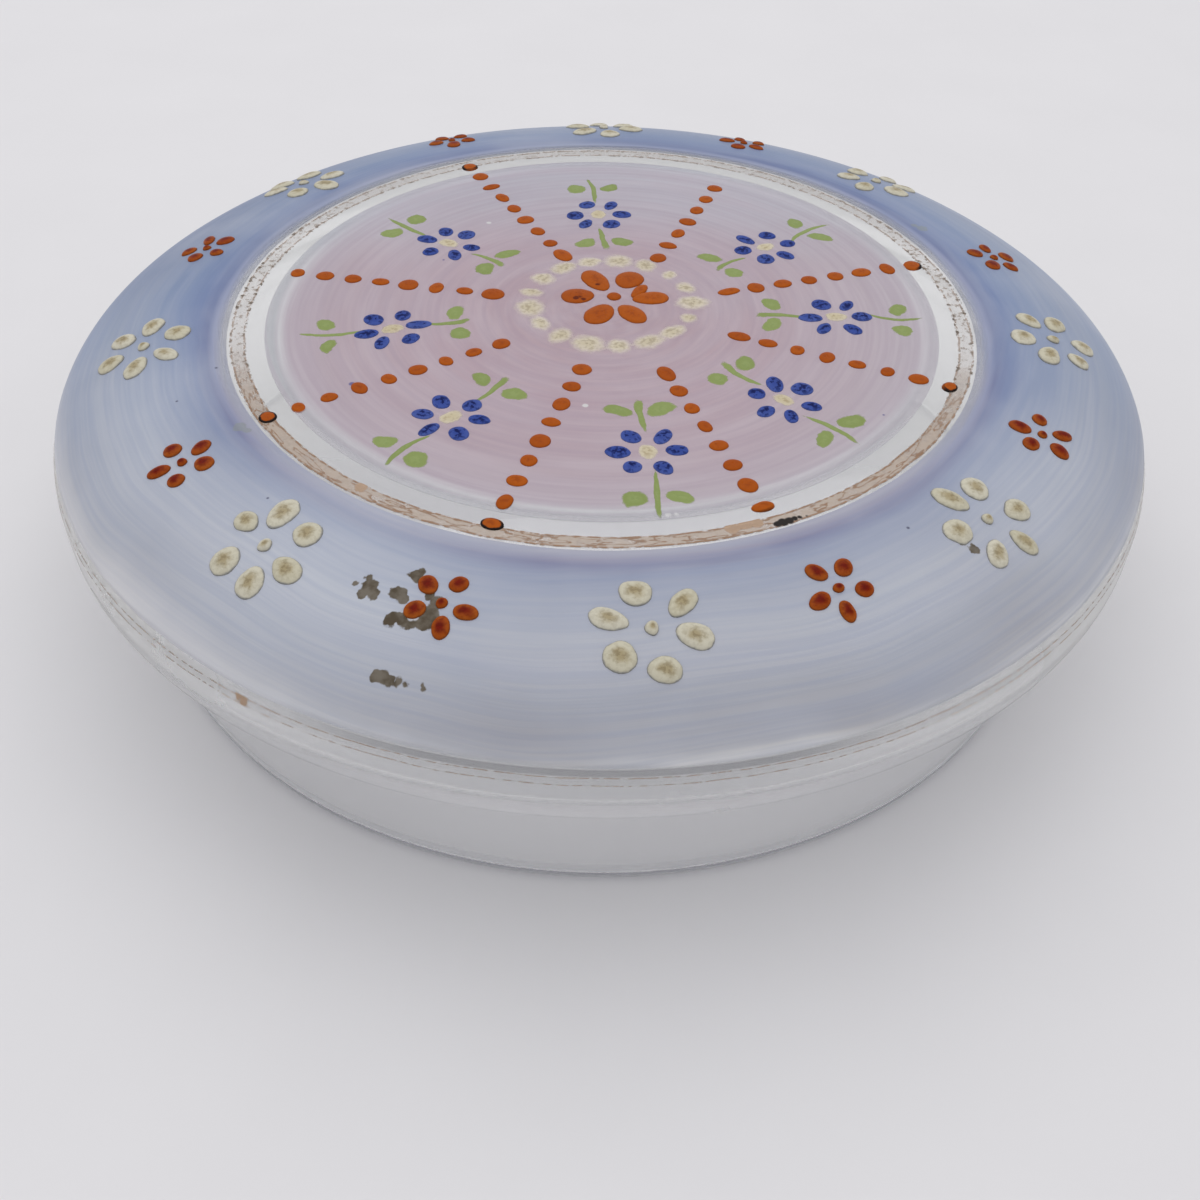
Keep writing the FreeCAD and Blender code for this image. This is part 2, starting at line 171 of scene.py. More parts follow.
def node_group(name, kind, inputs, outputs):
    """Empty group with its named sockets; gives the tree, its inputs and its output node."""
    tree = bpy.data.node_groups.new(name, kind)
    for title, socket in inputs:
        tree.interface.new_socket(title, in_out="INPUT", socket_type=socket)
    for title, socket in outputs:
        tree.interface.new_socket(title, in_out="OUTPUT", socket_type=socket)
    return tree, put(tree, "NodeGroupInput").outputs, put(tree, "NodeGroupOutput")


def new_material(name):
    """Material with an empty tree; gives the material, its tree, Object coordinates and its output node."""
    material = bpy.data.materials.new(name)
    material.use_nodes = True
    tree = material.node_tree
    tree.nodes.clear()
    place = put(tree, "ShaderNodeTexCoord").outputs["Object"]
    return material, tree, place, put(tree, "ShaderNodeOutputMaterial")


def for_light(tree):
    """1 for shadow and diffuse rays."""
    path = put(tree, "ShaderNodeLightPath").outputs
    return calc(tree, "MAXIMUM", path["Is Shadow Ray"], path["Is Diffuse Ray"])


print("sizes are in metres, and a millimetre is", MM)

# %% [markdown]
# ## The section of the lid
# Blown glass that is turned in a mould is the same all round, so the whole shape is one section: flat top, wide crown
# arc, tighter turn at the rim, rounded underside and straight flange. The sizes are those of the solid model, and the
# coats and gilding follow the same arcs a hair above the glass.

# %% Section
LID = glass_high.x
TOP = glass_high.z
TURN = 6.5 * MM
FLAT = LID - 19.6 * MM
SHOULDER_DROP = 10.5 * MM
WIDEST = TOP - SHOULDER_DROP
RIM_LOW = WIDEST - 1.7 * MM
RIM_ROUND = 4.0 * MM
WALL = 2.4 * MM
ROOT = 1.2 * MM
FOOT = 0.6 * MM
FLANGE = LID - 7.2 * MM
SEAT_EDGE = LID - RIM_ROUND
SEAT = RIM_LOW - RIM_ROUND
ROOT_X = FLANGE + ROOT
ROOT_Z = SEAT - ROOT
TURN_X = LID - TURN
CROWN = ((TURN_X - FLAT) ** 2 + (TOP - WIDEST) ** 2 - TURN ** 2) / (2 * (TOP - WIDEST - TURN))
CROWN_Z = TOP - CROWN
JOIN = math.degrees(math.atan2(WIDEST - CROWN_Z, TURN_X - FLAT))


def bow(x, z, radius, start, end, steps):
    """Points of an arc on the section, with both ends; angles in degrees."""
    angles = np.radians(np.linspace(start, end, steps + 1))
    return [(x + radius * math.cos(a), z + radius * math.sin(a)) for a in angles]


def turn_angle(drop):
    """Angle on the turn of the shoulder at a drop below the top."""
    return math.degrees(math.asin((SHOULDER_DROP - drop) / TURN))


glass_section = [
    (0, TOP),
    *bow(FLAT, CROWN_Z, CROWN, 90, JOIN, 28),
    *bow(TURN_X, WIDEST, TURN, JOIN, 0, 16),
    *bow(SEAT_EDGE, RIM_LOW, RIM_ROUND, 0, -90, 14),
    *bow(ROOT_X, ROOT_Z, ROOT, 90, 180, 6),
    *bow(FLANGE - FOOT, FOOT, FOOT, 0, -90, 6),
    *bow(FLANGE - WALL + FOOT, FOOT, FOOT, -90, -180, 6),
    *bow(ROOT_X, ROOT_Z, ROOT + WALL, 180, 90, 8),
    *bow(SEAT_EDGE, RIM_LOW, RIM_ROUND - WALL, -90, 0, 8),
    *bow(TURN_X, WIDEST, TURN - WALL, 0, JOIN, 12),
    *bow(FLAT, CROWN_Z, CROWN - WALL, JOIN, 90, 24),
    (0, TOP - WALL),
]


def over_shoulder(lift, start_x, end):
    """Section of the shoulder at a lift above the glass, from a radius on the top to an angle on the turn."""
    return [
        (start_x, TOP + lift),
        *bow(FLAT, CROWN_Z, CROWN + lift, 90, JOIN, 28),
        *bow(TURN_X, WIDEST, TURN + lift, JOIN, end, 12),
    ]


def skin(outer, inner):
    """Closed section of a thin skin between two lines that run the same way."""
    return [*outer, *reversed(inner), outer[0]]


print("section:", len(glass_section), "points, crown radius", round(CROWN / MM, 2), "mm")

# %% [markdown]
# ## Turning a section
# A lathe is a rule, so it is a Geometry Nodes tree: a grid is wrapped round the axis, each row of it taking its radius
# and height from one point of the section. Screw or Spin would do as well, but here the number of steps stays an
# input, the seam and the poles close in the same tree, and edges that turn sharply stay crisp.

# %% Tree that turns a section
turning, given, result = node_group(
    "turned round the axis",
    "GeometryNodeTree",
    [("Section", "NodeSocketGeometry"), ("Steps", "NodeSocketInt"), ("Finish", "NodeSocketMaterial")],
    [("Turned", "NodeSocketGeometry")],
)
points = put(turning, "GeometryNodeAttributeDomainSize", {0: given["Section"]}).outputs["Point Count"]
sheet = put(turning, "GeometryNodeMeshGrid", {
    "Size X": 1.0,
    "Size Y": 1.0,
    "Vertices X": calc(turning, "ADD", given["Steps"], 1.0),
    "Vertices Y": points,
}).outputs["Mesh"]
here = put(turning, "GeometryNodeInputPosition").outputs[0]
spot = split(turning, here)
down = calc(turning, "ADD", spot["Y"], 0.5)
row = calc(turning, "ROUND", calc(turning, "MULTIPLY", down, calc(turning, "SUBTRACT", points, 1.0)))
taken = put(turning, "GeometryNodeSampleIndex", {"Geometry": given["Section"], "Value": here, "Index": row},
            data_type="FLOAT_VECTOR").outputs["Value"]
taken = split(turning, taken)
turn = calc(turning, "MULTIPLY", calc(turning, "ADD", spot["X"], 0.5), -2 * math.pi)
wrapped = joined(
    turning,
    X=calc(turning, "MULTIPLY", taken["X"], calc(turning, "COSINE", turn)),
    Y=calc(turning, "MULTIPLY", taken["X"], calc(turning, "SINE", turn)),
    Z=taken["Z"],
)
shaped = put(turning, "GeometryNodeSetPosition", {"Geometry": sheet, "Position": wrapped}).outputs[0]
closed = put(turning, "GeometryNodeMergeByDistance", {"Geometry": shaped, "Distance": 0.001 * MM}).outputs[0]
smooth = put(turning, "GeometryNodeSetShadeSmooth", {0: closed}).outputs[0]
bent = put(turning, "GeometryNodeInputMeshEdgeAngle").outputs["Unsigned Angle"]
crisp = calc(turning, "GREATER_THAN", bent, math.radians(40))
smooth = put(turning, "GeometryNodeSetShadeSmooth", {0: smooth, "Selection": crisp, "Shade Smooth": False},
             domain="EDGE").outputs[0]
whole = put(turning, "GeometryNodeRealizeInstances", {0: smooth}).outputs[0]
dressed = put(turning, "GeometryNodeSetMaterial", {"Geometry": whole, "Material": given["Finish"]}).outputs[0]
turning.links.new(dressed, result.inputs[0])
print("turning tree:", len(turning.nodes), "nodes")

# %% [markdown]
# ## From a tree to a piece
# The modifier's result is kept as a plain mesh and the modifier goes, because the export wants finished meshes. Each
# piece then says which nodes of the solid model it stands for. Turned pieces take few steps where they are opaque and
# flat, and more where light bends, because facets would show as waves there.

# %% Pieces from a tree
STEPS = 192
CLOSE_STEPS = 448


def finished(name, start, tree, values):
    """Runs a tree on a start mesh and keeps the result as one plain mesh at the origin."""
    piece = bpy.data.objects.new(name, start)
    bpy.context.scene.collection.objects.link(piece)
    maker = piece.modifiers.new("maker", "NODES")
    maker.node_group = tree
    for socket in tree.interface.items_tree:
        if socket.in_out == "INPUT" and socket.name in values:
            maker[socket.identifier] = values[socket.name]
    made = bpy.data.meshes.new_from_object(piece.evaluated_get(bpy.context.evaluated_depsgraph_get()))
    piece.modifiers.clear()
    piece.data = made
    made.name = name
    return piece


def settle(piece, slot, *replaced):
    """The piece stands for its nodes and rides on the lid; the slot is not used."""
    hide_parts(*replaced)
    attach(piece, "root")
    print(piece.name, "stands for", len(replaced), "nodes with", len(piece.data.polygons), "faces")


def turned(name, section, steps, material):
    """A section turned round the axis."""
    line = bpy.data.meshes.new(f"{name}_section")
    line.from_pydata([(x, 0, z) for x, z in section], [(i, i + 1) for i in range(len(section) - 1)], [])
    return finished(name, line, turning, {"Steps": steps, "Finish": material})


print("a turn has", STEPS, "or", CLOSE_STEPS, "steps")

# %% [markdown]
# ## Clear glass
# The glass is colourless, a little uneven from the mould, and marked by use: faint smears change its gloss, years of
# lifting have dulled the rim, and the foot was ground. At the front a grey line is painted into the glass's colour
# just below the blue coat, a painted reflection of the coat's lower edge. A Principled shader with full transmission
# bends the light, as a Glass shader would too.

# %% Glass
clear_glass, tree, place, out = new_material("clear_glass")
radius = from_axis(tree, place)
smears = between(tree, grain(tree, place, 60.0, 4.0), 0.45, 0.75, 0.012, 0.05)
worn_rim = between(tree, radius, LID - 6.5 * MM, LID - 3.5 * MM, 0.0, 0.24)
waves = grain(tree, place, 70.0, 2.0)
bump = put(tree, "ShaderNodeBump", {"Strength": 0.04, "Distance": 0.4 * MM, "Height": waves}).outputs[0]
sides = split(tree, place)
# Painted reflection: a grey band in the glass's colour at the front, just below the coat's lower edge.
painted_reflection = calc(
    tree, "MULTIPLY",
    between(tree, sides["Z"], TOP - 8.3 * MM, TOP - 8.1 * MM),
    between(tree, sides["Z"], TOP - 7.5 * MM, TOP - 7.65 * MM),
    between(tree, sides["Y"], -57.0 * MM, -63.0 * MM),
    calc(tree, "GREATER_THAN", radius, LID - 1.5 * MM),
)
ground_foot = between(tree, sides["Z"], 1.2 * MM, 0.7 * MM, 0.0, 0.6)
glass = put(tree, "ShaderNodeBsdfPrincipled", {
    "Base Color": mixed(tree, painted_reflection, (0.985, 0.99, 0.99, 1.0), (0.45, 0.45, 0.46, 1.0)),
    "Roughness": calc(tree, "ADD", smears, calc(tree, "ADD", worn_rim, ground_foot)),
    "IOR": 1.5,
    "Transmission Weight": 1.0,
    "Normal": bump,
}).outputs[0]
print("clear glass:", len(tree.nodes), "nodes")

# %% [markdown]
# ## Painted light and light in the glass
# Painted light: a pale diffuse colour is laid on the clear ring of the top, none at the front, and on the sides of the
# rim, and stands in for the brightness of light in and through the glass there. For shadow and diffuse rays the glass
# turns into a plain pane, so that light reaches the table inside the lid without the noise of caustics; the rim and
# flange dim it a little and the foot more. A ray that was thrown about inside the rim many times leaves straight too,
# because real thick glass glows there instead of going black.

# %% Glass lid
# Painted light: pale diffuse colour on the clear ring of the top, none at the front.
ring_painted_light = calc(
    tree, "MULTIPLY",
    between(tree, radius, FLAT - 7.4 * MM, FLAT - 5.6 * MM, 0.0, 0.4),
    calc(tree, "GREATER_THAN", sides["Z"], TOP - 0.5 * MM),
    between(tree, radius, FLAT - 0.2 * MM, FLAT - 1.2 * MM),
    between(tree, sides["Y"], -41.0 * MM, -25.0 * MM),
)
# Painted light: pale diffuse colour on the sides of the rim.
rim_painted_light = calc(tree, "MULTIPLY", between(tree, radius, LID - 3.0 * MM, LID - 1.5 * MM, 0.0, 0.5),
                between(tree, sides["Y"], -59.0 * MM, -40.0 * MM))
# The pale colour of this painted light.
pale = put(tree, "ShaderNodeBsdfDiffuse", {"Color": tint(226, 225, 224)}).outputs[0]
glass_with_painted_light = blend(tree, calc(tree, "MAXIMUM", ring_painted_light, rim_painted_light), glass, pale)
outer = between(tree, radius, LID - 12.0 * MM, LID - 9.0 * MM)
wall = mixed(tree, outer, (0.98, 0.98, 0.98, 1.0), (0.94, 0.94, 0.93, 1.0))
wall = mixed(tree, between(tree, sides["Z"], 0.2 * MM, 1.2 * MM), (0.5, 0.5, 0.53, 1.0), wall)
pane = put(tree, "ShaderNodeBsdfTransparent", {"Color": wall}).outputs[0]
late = calc(tree, "GREATER_THAN", put(tree, "ShaderNodeLightPath").outputs["Ray Depth"], 5.0)
through = calc(tree, "MAXIMUM", late, for_light(tree))
tree.links.new(blend(tree, through, glass_with_painted_light, pane), out.inputs["Surface"])

lid_piece = turned("glass_lid", glass_section, CLOSE_STEPS, clear_glass)
settle(lid_piece, "clear_glass", "lid_glass")

# %% [markdown]
# ## Brush streaks
# Both stains were brushed on while the lid turned on a wheel, which leaves fine lines that follow the circle. Noise
# read on (direction from the axis, distance from the axis) gives them: it changes fast across the stroke and slowly
# along it. Both coats use it, so it is a group.

# %% Streaks group
streaks, given, result = node_group(
    "brush streaks",
    "ShaderNodeTree",
    [("Place", "NodeSocketVector"), ("Across", "NodeSocketFloat"), ("Run", "NodeSocketFloat")],
    [("Fine", "NodeSocketFloat"), ("Broad", "NodeSocketFloat")],
)
flat_place = vector(streaks, "MULTIPLY", given["Place"], (1.0, 1.0, 0.0))
heading = split(streaks, scaled(streaks, vector(streaks, "NORMALIZE", flat_place), given["Run"]))
for title, pace in (("Fine", 1700.0), ("Broad", 420.0)):
    across = calc(streaks, "MULTIPLY", given["Across"], pace)
    line = grain(streaks, joined(streaks, X=heading["X"], Y=heading["Y"], Z=across), 1.0, 3.0)
    streaks.links.new(between(streaks, line, 0.3, 0.7), result.inputs[title])


def brushed(tree, place, across, run):
    """Fine and broad streaks of the brush."""
    made = put(tree, "ShaderNodeGroup", {"Place": place, "Across": across, "Run": run}, node_tree=streaks)
    return made.outputs["Fine"], made.outputs["Broad"]


print("streak group:", len(streaks.nodes), "nodes")

# %% [markdown]
# ## Marks at a place
# Chips, specks and burnt spots lie where they lie on the real lid. Painting them on an image would work, but a few
# round spots in millimetres, joined and roughened by noise, stay sharp at any distance and need no image.

# %% Spots
SPOT_EDGE = 0.1 * MM


def apart(tree, place, x, y, z):
    """Distance of a place from a point in mm."""
    names = {0: place, 1: (x * MM, y * MM, z * MM)}
    return put(tree, "ShaderNodeVectorMath", names, operation="DISTANCE").outputs["Value"]


def spots_mask(tree, place, spots, ragged):
    """1 inside any of two or more round spots (x, y, radius in mm), with ragged edges."""
    rough = uneven(tree, place, 900.0, 4.0, ragged * MM)
    flat_place = vector(tree, "MULTIPLY", place, (1.0, 1.0, 0.0))
    aways = [calc(tree, "SUBTRACT", apart(tree, flat_place, x, y, 0.0), size * MM) for x, y, size in spots]
    reach = calc(tree, "MINIMUM", *aways)
    return between(tree, calc(tree, "ADD", reach, rough), -SPOT_EDGE, SPOT_EDGE, 1.0, 0.0)


print("spots fade over", 2 * SPOT_EDGE / MM, "mm")

# %% [markdown]
# ## Stain on glass
# A fired stain is paint and coloured glass at once: it has a gloss, and some light comes through from behind. So a
# Principled surface is mixed with a little Translucent. Where the stain thins out, both fade to clear. The streaks are
# in the paint alone, since the export reads them only there, and light from behind is too soft to show them. Shadow
# and diffuse rays take the stain as a tinted pane, because the inside of the real lid is bright.

# %% Stain
GLOW = 0.12


def stained(tree, stain, cover, even_stain, even_cover, normal, gloss, dimmed):
    """Thin stain on glass: streaked paint, some even light from behind, and dimmed light for the inside."""
    paint = put(tree, "ShaderNodeBsdfPrincipled", {
        "Base Color": stain,
        "Roughness": gloss,
        "Specular IOR Level": 0.25,
        "Alpha": cover,
        "Normal": normal,
    }).outputs[0]
    glow = put(tree, "ShaderNodeBsdfTranslucent", {"Color": even_stain}).outputs[0]
    gone = put(tree, "ShaderNodeBsdfTransparent").outputs[0]
    body = blend(tree, GLOW, paint, blend(tree, even_cover, gone, glow))
    pane = put(tree, "ShaderNodeBsdfTransparent", {"Color": dimmed}).outputs[0]
    return blend(tree, for_light(tree), body, pane)


def stroke_lines(tree, fine):
    """Slight ridges that the brush left."""
    return put(tree, "ShaderNodeBump", {"Strength": 0.1, "Distance": 0.1 * MM, "Height": fine}).outputs[0]


print("share of light from behind a stain:", GLOW)

# %% [markdown]
# ## Blue stain
# The shoulder carries a thin milky blue: violet beside the gilt ring, paler over the crown and greyer near the rim,
# where it thins out to clear glass. At the front it is paler, a painted sheen, and on the far left and the far side
# deeper, a painted shade, so two ramps along the shoulder are mixed by direction. Distance out less height grows
# steadily along the curve, and serves as the measure.

# %% Blue stain
COAT_INNER = FLAT - 1.1 * MM
COAT_OUTER = 38.2 * MM

blue_coat, tree, place, out = new_material("blue_coat")
sides = split(tree, place)
along = calc(tree, "SUBTRACT", from_axis(tree, place), sides["Z"])
share = portion(tree, along, COAT_INNER - TOP, COAT_OUTER)
waver = uneven(tree, place, 45.0, 3.0, 0.2)
share_here = calc(tree, "ADD", share, calc(tree, "MULTIPLY", waver, between(tree, share, 0.05, 0.35)))
deep_stain = ramp(tree, share_here, (
    (0.0, tint(186, 188, 204)),
    (1.0, tint(150, 161, 186)),
    (0.03, tint(160, 164, 190)),
    (0.06, tint(112, 122, 162)),
    (0.12, tint(118, 134, 174)),
    (0.20, tint(128, 145, 180)),
    (0.38, tint(142, 156, 183)),
    (0.56, tint(150, 161, 183)),
    (0.80, tint(148, 161, 187)),
))
left = between(tree, sides["X"], -12.0 * MM, -54.0 * MM)
far_left_shade = calc(tree, "MULTIPLY", left, between(tree, sides["Y"], -6.0 * MM, 20.0 * MM, 0.0, 0.9),
                between(tree, share_here, 0.1, 0.6, 0.5, 1.0))
far_side_shade = between(tree, sides["Y"], 20.0 * MM, 58.0 * MM, 0.0, 0.3)
# Painted shade: deeper blue on the far left and the far side.
deep_stain = mixed(tree, calc(tree, "MAXIMUM", far_left_shade, far_side_shade), deep_stain, tint(90, 112, 154))
# Paler ramp for the front, with a painted sheen in it.
front_stain_with_sheen = ramp(tree, share_here, (
    (0.0, tint(174, 172, 186)),
    (1.0, tint(230, 228, 228)),
    (0.03, tint(152, 149, 170)),
    (0.06, tint(130, 131, 160)),
    (0.12, tint(145, 152, 176)),
    (0.20, tint(164, 169, 186)),
    (0.42, tint(186, 188, 197)),
    (0.56, tint(186, 187, 196)),
    (0.68, tint(174, 175, 183)),
    (0.86, tint(174, 173, 179)),
    (0.94, tint(194, 192, 194)),
    (0.97, tint(216, 214, 214)),
))
# Share of the front, where the paler ramp with its painted sheen shows.
front = between(tree, calc(tree, "ADD", sides["Y"], calc(tree, "MULTIPLY", waver, 0.1)), 4.0 * MM, -44.0 * MM)
stain = mixed(tree, front, deep_stain, front_stain_with_sheen)
patch = grain(tree, place, 38.0, 3.0)
stain = mixed(tree, between(tree, patch, 0.50, 0.72, 0.0, 0.35), stain, tint(196, 199, 209))
stain = mixed(tree, between(tree, patch, 0.48, 0.28, 0.0, 0.4), stain, tint(132, 147, 180))
print("blue stain:", len(tree.nodes), "nodes")

# %% [markdown]
# ## Marks and painted shade on the blue stain
# It is paler in broad patches, and palest near its lower edge at the front left. Through it run the streaks of the
# brush, which drift off the circle a little. Where it is chipped, the dim inside of the lid is painted in as a
# grey-brown shade with flakes of colour in it, and there are greenish smudges and dark specks. All of these are masks
# at places read off the lid, mixed into the colour one by one. The even colour without the streaks is kept beside it
# for the light from behind.

# %% Blue marks and painted shade
CHIPS = (
    (-21.5, -47.4, 0.5), (-21.5, -48.3, 0.8), (-20.9, -49.2, 0.6), (-22.1, -49.0, 0.5), (-22.8, -47.9, 0.3),
    (-18.6, -49.2, 0.75), (-18.1, -50.0, 0.5), (-17.0, -47.3, 0.75), (-16.7, -46.7, 0.4), (-18.9, -51.9, 0.7),
    (-18.0, -52.0, 0.8), (-17.1, -52.1, 0.95), (-16.1, -52.2, 1.0), (-15.4, -52.2, 0.9), (-15.5, -51.3, 0.8),
    (-15.0, -50.4, 0.7), (-15.7, -49.7, 0.5), (-19.9, -56.8, 0.55), (-19.3, -57.0, 0.45), (-18.6, -57.4, 0.42),
    (-17.9, -57.6, 0.45), (-17.4, -57.9, 0.38), (-15.7, -58.0, 0.14), (-15.6, -58.3, 0.14),
    (36.4, -41.2, 0.5), (35.2, -40.6, 0.25),
)
LEFT_IN_CHIPS = ((-17.2, -51.9, 0.3), (-16.8, -51.9, 0.3))
PALE_PATCHES = (
    (-27.0, -48.0, 28.0, 26.0, 0.47), (-50.5, -19.0, 32.0, 13.0, 0.28), (-50.0, -34.0, 29.7, 15.0, 0.34),
    (48.0, -34.0, 30.0, 20.0, 0.3), (30.0, -50.0, 30.2, 15.0, 0.26),
)
SMUDGES = ((-38.1, -25.0, 0.7), (-37.2, -25.6, 0.5), (42.0, 21.6, 0.7), (41.2, 22.4, 0.5))
DARK_DOTS = ((-43.0, -14.0, 0.15), (-33.0, -36.5, 0.12), (-46.0, -20.0, 0.12), (30.0, -39.5, 0.15))

# Paler patches at listed places.
for x, y, z, reach, most in PALE_PATCHES:
    pale = between(tree, apart(tree, place, x, y, z), 2.0 * MM, reach * MM, most, 0.0)
    stain = mixed(tree, pale, stain, tint(204, 209, 220))
even_stain = stain
drift = uneven(tree, place, 22.0, 2.0, 9.0 * MM)
fine, broad = brushed(tree, place, calc(tree, "ADD", along, drift), 2.6)
stain = mixed(tree, calc(tree, "MULTIPLY", broad, 0.3), stain, tint(188, 191, 203))
stain = mixed(tree, calc(tree, "MULTIPLY", fine, between(tree, front, 0.0, 1.0, 0.3, 0.2)), stain, tint(130, 145, 180))
chipped = spots_mask(tree, place, CHIPS, 1.5)
# Painted shade: the dim inside of the lid, grey-brown, painted where the coat is chipped.
chip_painted_shade = mixed(tree, between(tree, grain(tree, place, 700.0, 4.0), 0.35, 0.65), tint(84, 73, 58), tint(118, 110, 99))
marks = (
    (calc(tree, "MULTIPLY", left, front, between(tree, share_here, 0.80, 0.99, 0.0, 0.7)), tint(226, 224, 227)),
    (chipped, chip_painted_shade),
    (spots_mask(tree, place, LEFT_IN_CHIPS, 0.2), tint(206, 207, 212)),
    (calc(tree, "MULTIPLY", spots_mask(tree, place, SMUDGES, 1.2), 0.5), tint(142, 148, 138)),
    (spots_mask(tree, place, DARK_DOTS, 0.2), tint(92, 94, 116)),
)
for mask, colour in marks:
    stain = mixed(tree, mask, stain, colour)
    even_stain = mixed(tree, mask, even_stain, colour)
print("worn blue:", len(CHIPS), "spots of chips,", len(tree.nodes), "nodes")

# %% [markdown]
# ## Blue coat
# The coat is a closed skin a hair above the glass, on the arcs of the same section, so the turning tree makes it too.
# The wash of it reaches a little further in than the full coat. It fades at both edges, where the brush left off, and
# chips in it are dull.

# %% Blue coat
COAT = 0.12 * MM
STANDOFF = 0.02 * MM
COAT_WASH = COAT_INNER - 0.4 * MM
COAT_END = turn_angle(7.4 * MM)
INNER_FRAY, LOWER_FRAY = 0.012, 0.02

least = between(tree, front, 0.0, 1.0, 0.15, 0.95)


def coat_cover(inner_fray, lower_fray):
    """How much of the glass the coat covers: less at its two edges, which the strokes fray."""
    inner = between(tree, calc(tree, "ADD", share, inner_fray), 0.0, 0.045, least, 1.0)
    lower = between(tree, calc(tree, "ADD", share, lower_fray), 0.985, 1.04, 1.0, 0.3)
    return calc(tree, "MULTIPLY", inner, lower)


cover = coat_cover(calc(tree, "MULTIPLY", fine, INNER_FRAY), calc(tree, "MULTIPLY", broad, LOWER_FRAY))
even_cover = coat_cover(INNER_FRAY / 2, LOWER_FRAY / 2)
gloss = calc(tree, "MAXIMUM", between(tree, broad, 0.0, 1.0, 0.28, 0.42), calc(tree, "MULTIPLY", chipped, 0.75))
shader = stained(tree, stain, cover, even_stain, even_cover, stroke_lines(tree, fine), gloss, tint(190, 191, 196))
tree.links.new(shader, out.inputs["Surface"])

coat_section = skin(over_shoulder(COAT, COAT_WASH, COAT_END), over_shoulder(STANDOFF, COAT_WASH, COAT_END))
coat_piece = turned("blue_coat", coat_section, CLOSE_STEPS, blue_coat)
settle(coat_piece, "blue_coat", "shoulder_coat")

# %% [markdown]
# ## Lilac stain
# The flat top has a second stain, pinkish near the middle, bluer towards the far side and greyer at the right, with
# the same circling strokes. Near its edge it turns to a thin white line and then a greyer margin. The streak group
# serves again, with its own colours; small bubbles and blue specks are spots.

# %% Lilac stain
LILAC = 39.6 * MM
BUBBLES = ((-1.8, -20.1, 0.28), (26.2, -10.1, 0.25), (6.6, -38.4, 0.3), (7.4, -38.3, 0.2), (-15.0, 21.0, 0.3))
BLUE_DOTS = ((-27.5, -16.7, 0.35), (30.4, -21.0, 0.15), (-20.0, 11.0, 0.15))

lilac_coat, tree, place, out = new_material("lilac_coat")
sides = split(tree, place)
radius = from_axis(tree, place)
fine, broad = brushed(tree, place, radius, 1.6)
share = calc(tree, "DIVIDE", radius, LILAC)
waver = uneven(tree, place, 40.0, 3.0, 0.06)
stain = ramp(tree, share, (
    (0.0, tint(180, 157, 164)),
    (1.0, tint(190, 191, 195)),
    (0.50, tint(183, 160, 169)),
    (0.80, tint(184, 166, 174)),
    (0.93, tint(186, 174, 182)),
    (0.96, tint(206, 205, 208)),
    (0.978, tint(182, 183, 188)),
))
bluer = between(tree, calc(tree, "ADD", sides["Y"], waver), -4.0 * MM, 34.0 * MM, 0.0, 0.7)
stain = mixed(tree, bluer, stain, tint(184, 185, 196))
greyer = between(tree, sides["X"], 10.0 * MM, 38.0 * MM, 0.0, 0.4)
even_stain = mixed(tree, greyer, stain, tint(188, 183, 190))
stain = mixed(tree, calc(tree, "MULTIPLY", broad, 0.36), even_stain, tint(200, 189, 197))
stain = mixed(tree, calc(tree, "MULTIPLY", fine, 0.34), stain, tint(163, 145, 161))
stain = mixed(tree, spots_mask(tree, place, BUBBLES, 0.5), stain, tint(214, 212, 212))
stain = mixed(tree, spots_mask(tree, place, BLUE_DOTS, 0.2), stain, tint(96, 92, 140))
print("lilac stain:", len(tree.nodes), "nodes")

# %% [markdown]
# ## Lilac coat
# It is a thin disc, turned like the rest. Its edge fades out, softer at the front than at the far side, and nearly all
# light passes it.

# %% Lilac coat
soft_from = between(tree, sides["Y"], -8.0 * MM, -28.0 * MM, 0.95, 0.92)
soft_to = between(tree, sides["Y"], -8.0 * MM, -28.0 * MM, 0.6, 0.3)
cover = between(tree, share, soft_from, 1.0, 1.0, soft_to)
gloss = between(tree, broad, 0.0, 1.0, 0.28, 0.42)
shader = stained(tree, stain, cover, even_stain, cover, stroke_lines(tree, fine), gloss, tint(251, 251, 252))
tree.links.new(shader, out.inputs["Surface"])


def disc(inner, outer, low, high):
    """Closed section of a thin ring, or of a disc when the inner radius is 0."""
    ring = [(inner, TOP + high), (outer, TOP + high), (outer, TOP + low), (inner, TOP + low)]
    return ring if inner == 0 else [*ring, ring[0]]


lilac_piece = turned("lilac_coat", disc(0, LILAC, STANDOFF, COAT), STEPS, lilac_coat)
settle(lilac_piece, "lilac_coat", "top_coat")

# %% [markdown]
# ## Worn gilding
# A gilt band rings the flat top and another the rim. Most of the gold has rubbed off: what stays is a thin brown line
# along each edge, broken into dashes, fine wavy lines between them, a pinkish film at the front, and dirt where the
# gold has gone. Both bands share one group that knows how far across the band a point is.

# %% Worn gold group
wear, given, result = node_group(
    "worn gold",
    "ShaderNodeTree",
    [("Place", "NodeSocketVector"), ("Share", "NodeSocketFloat"), ("Line", "NodeSocketFloat")],
    [("Line", "NodeSocketFloat"), ("Film", "NodeSocketFloat"), ("Waves", "NodeSocketFloat"),
     ("Dirt", "NodeSocketFloat")],
)
wobble = uneven(wear, given["Place"], 240.0, 3.0, 0.28)
edge = calc(wear, "ABSOLUTE", calc(wear, "SUBTRACT", calc(wear, "ADD", given["Share"], wobble), 0.5))
gap = calc(wear, "ABSOLUTE", calc(wear, "SUBTRACT", edge, 0.38))
dashes = between(wear, grain(wear, given["Place"], 1500.0, 3.0), 0.42, 0.52, 0.15, 1.0)
thin = between(wear, gap, calc(wear, "MULTIPLY", given["Line"], 0.3), given["Line"], 1.0, 0.0)
wear.links.new(calc(wear, "MULTIPLY", thin, dashes), result.inputs["Line"])
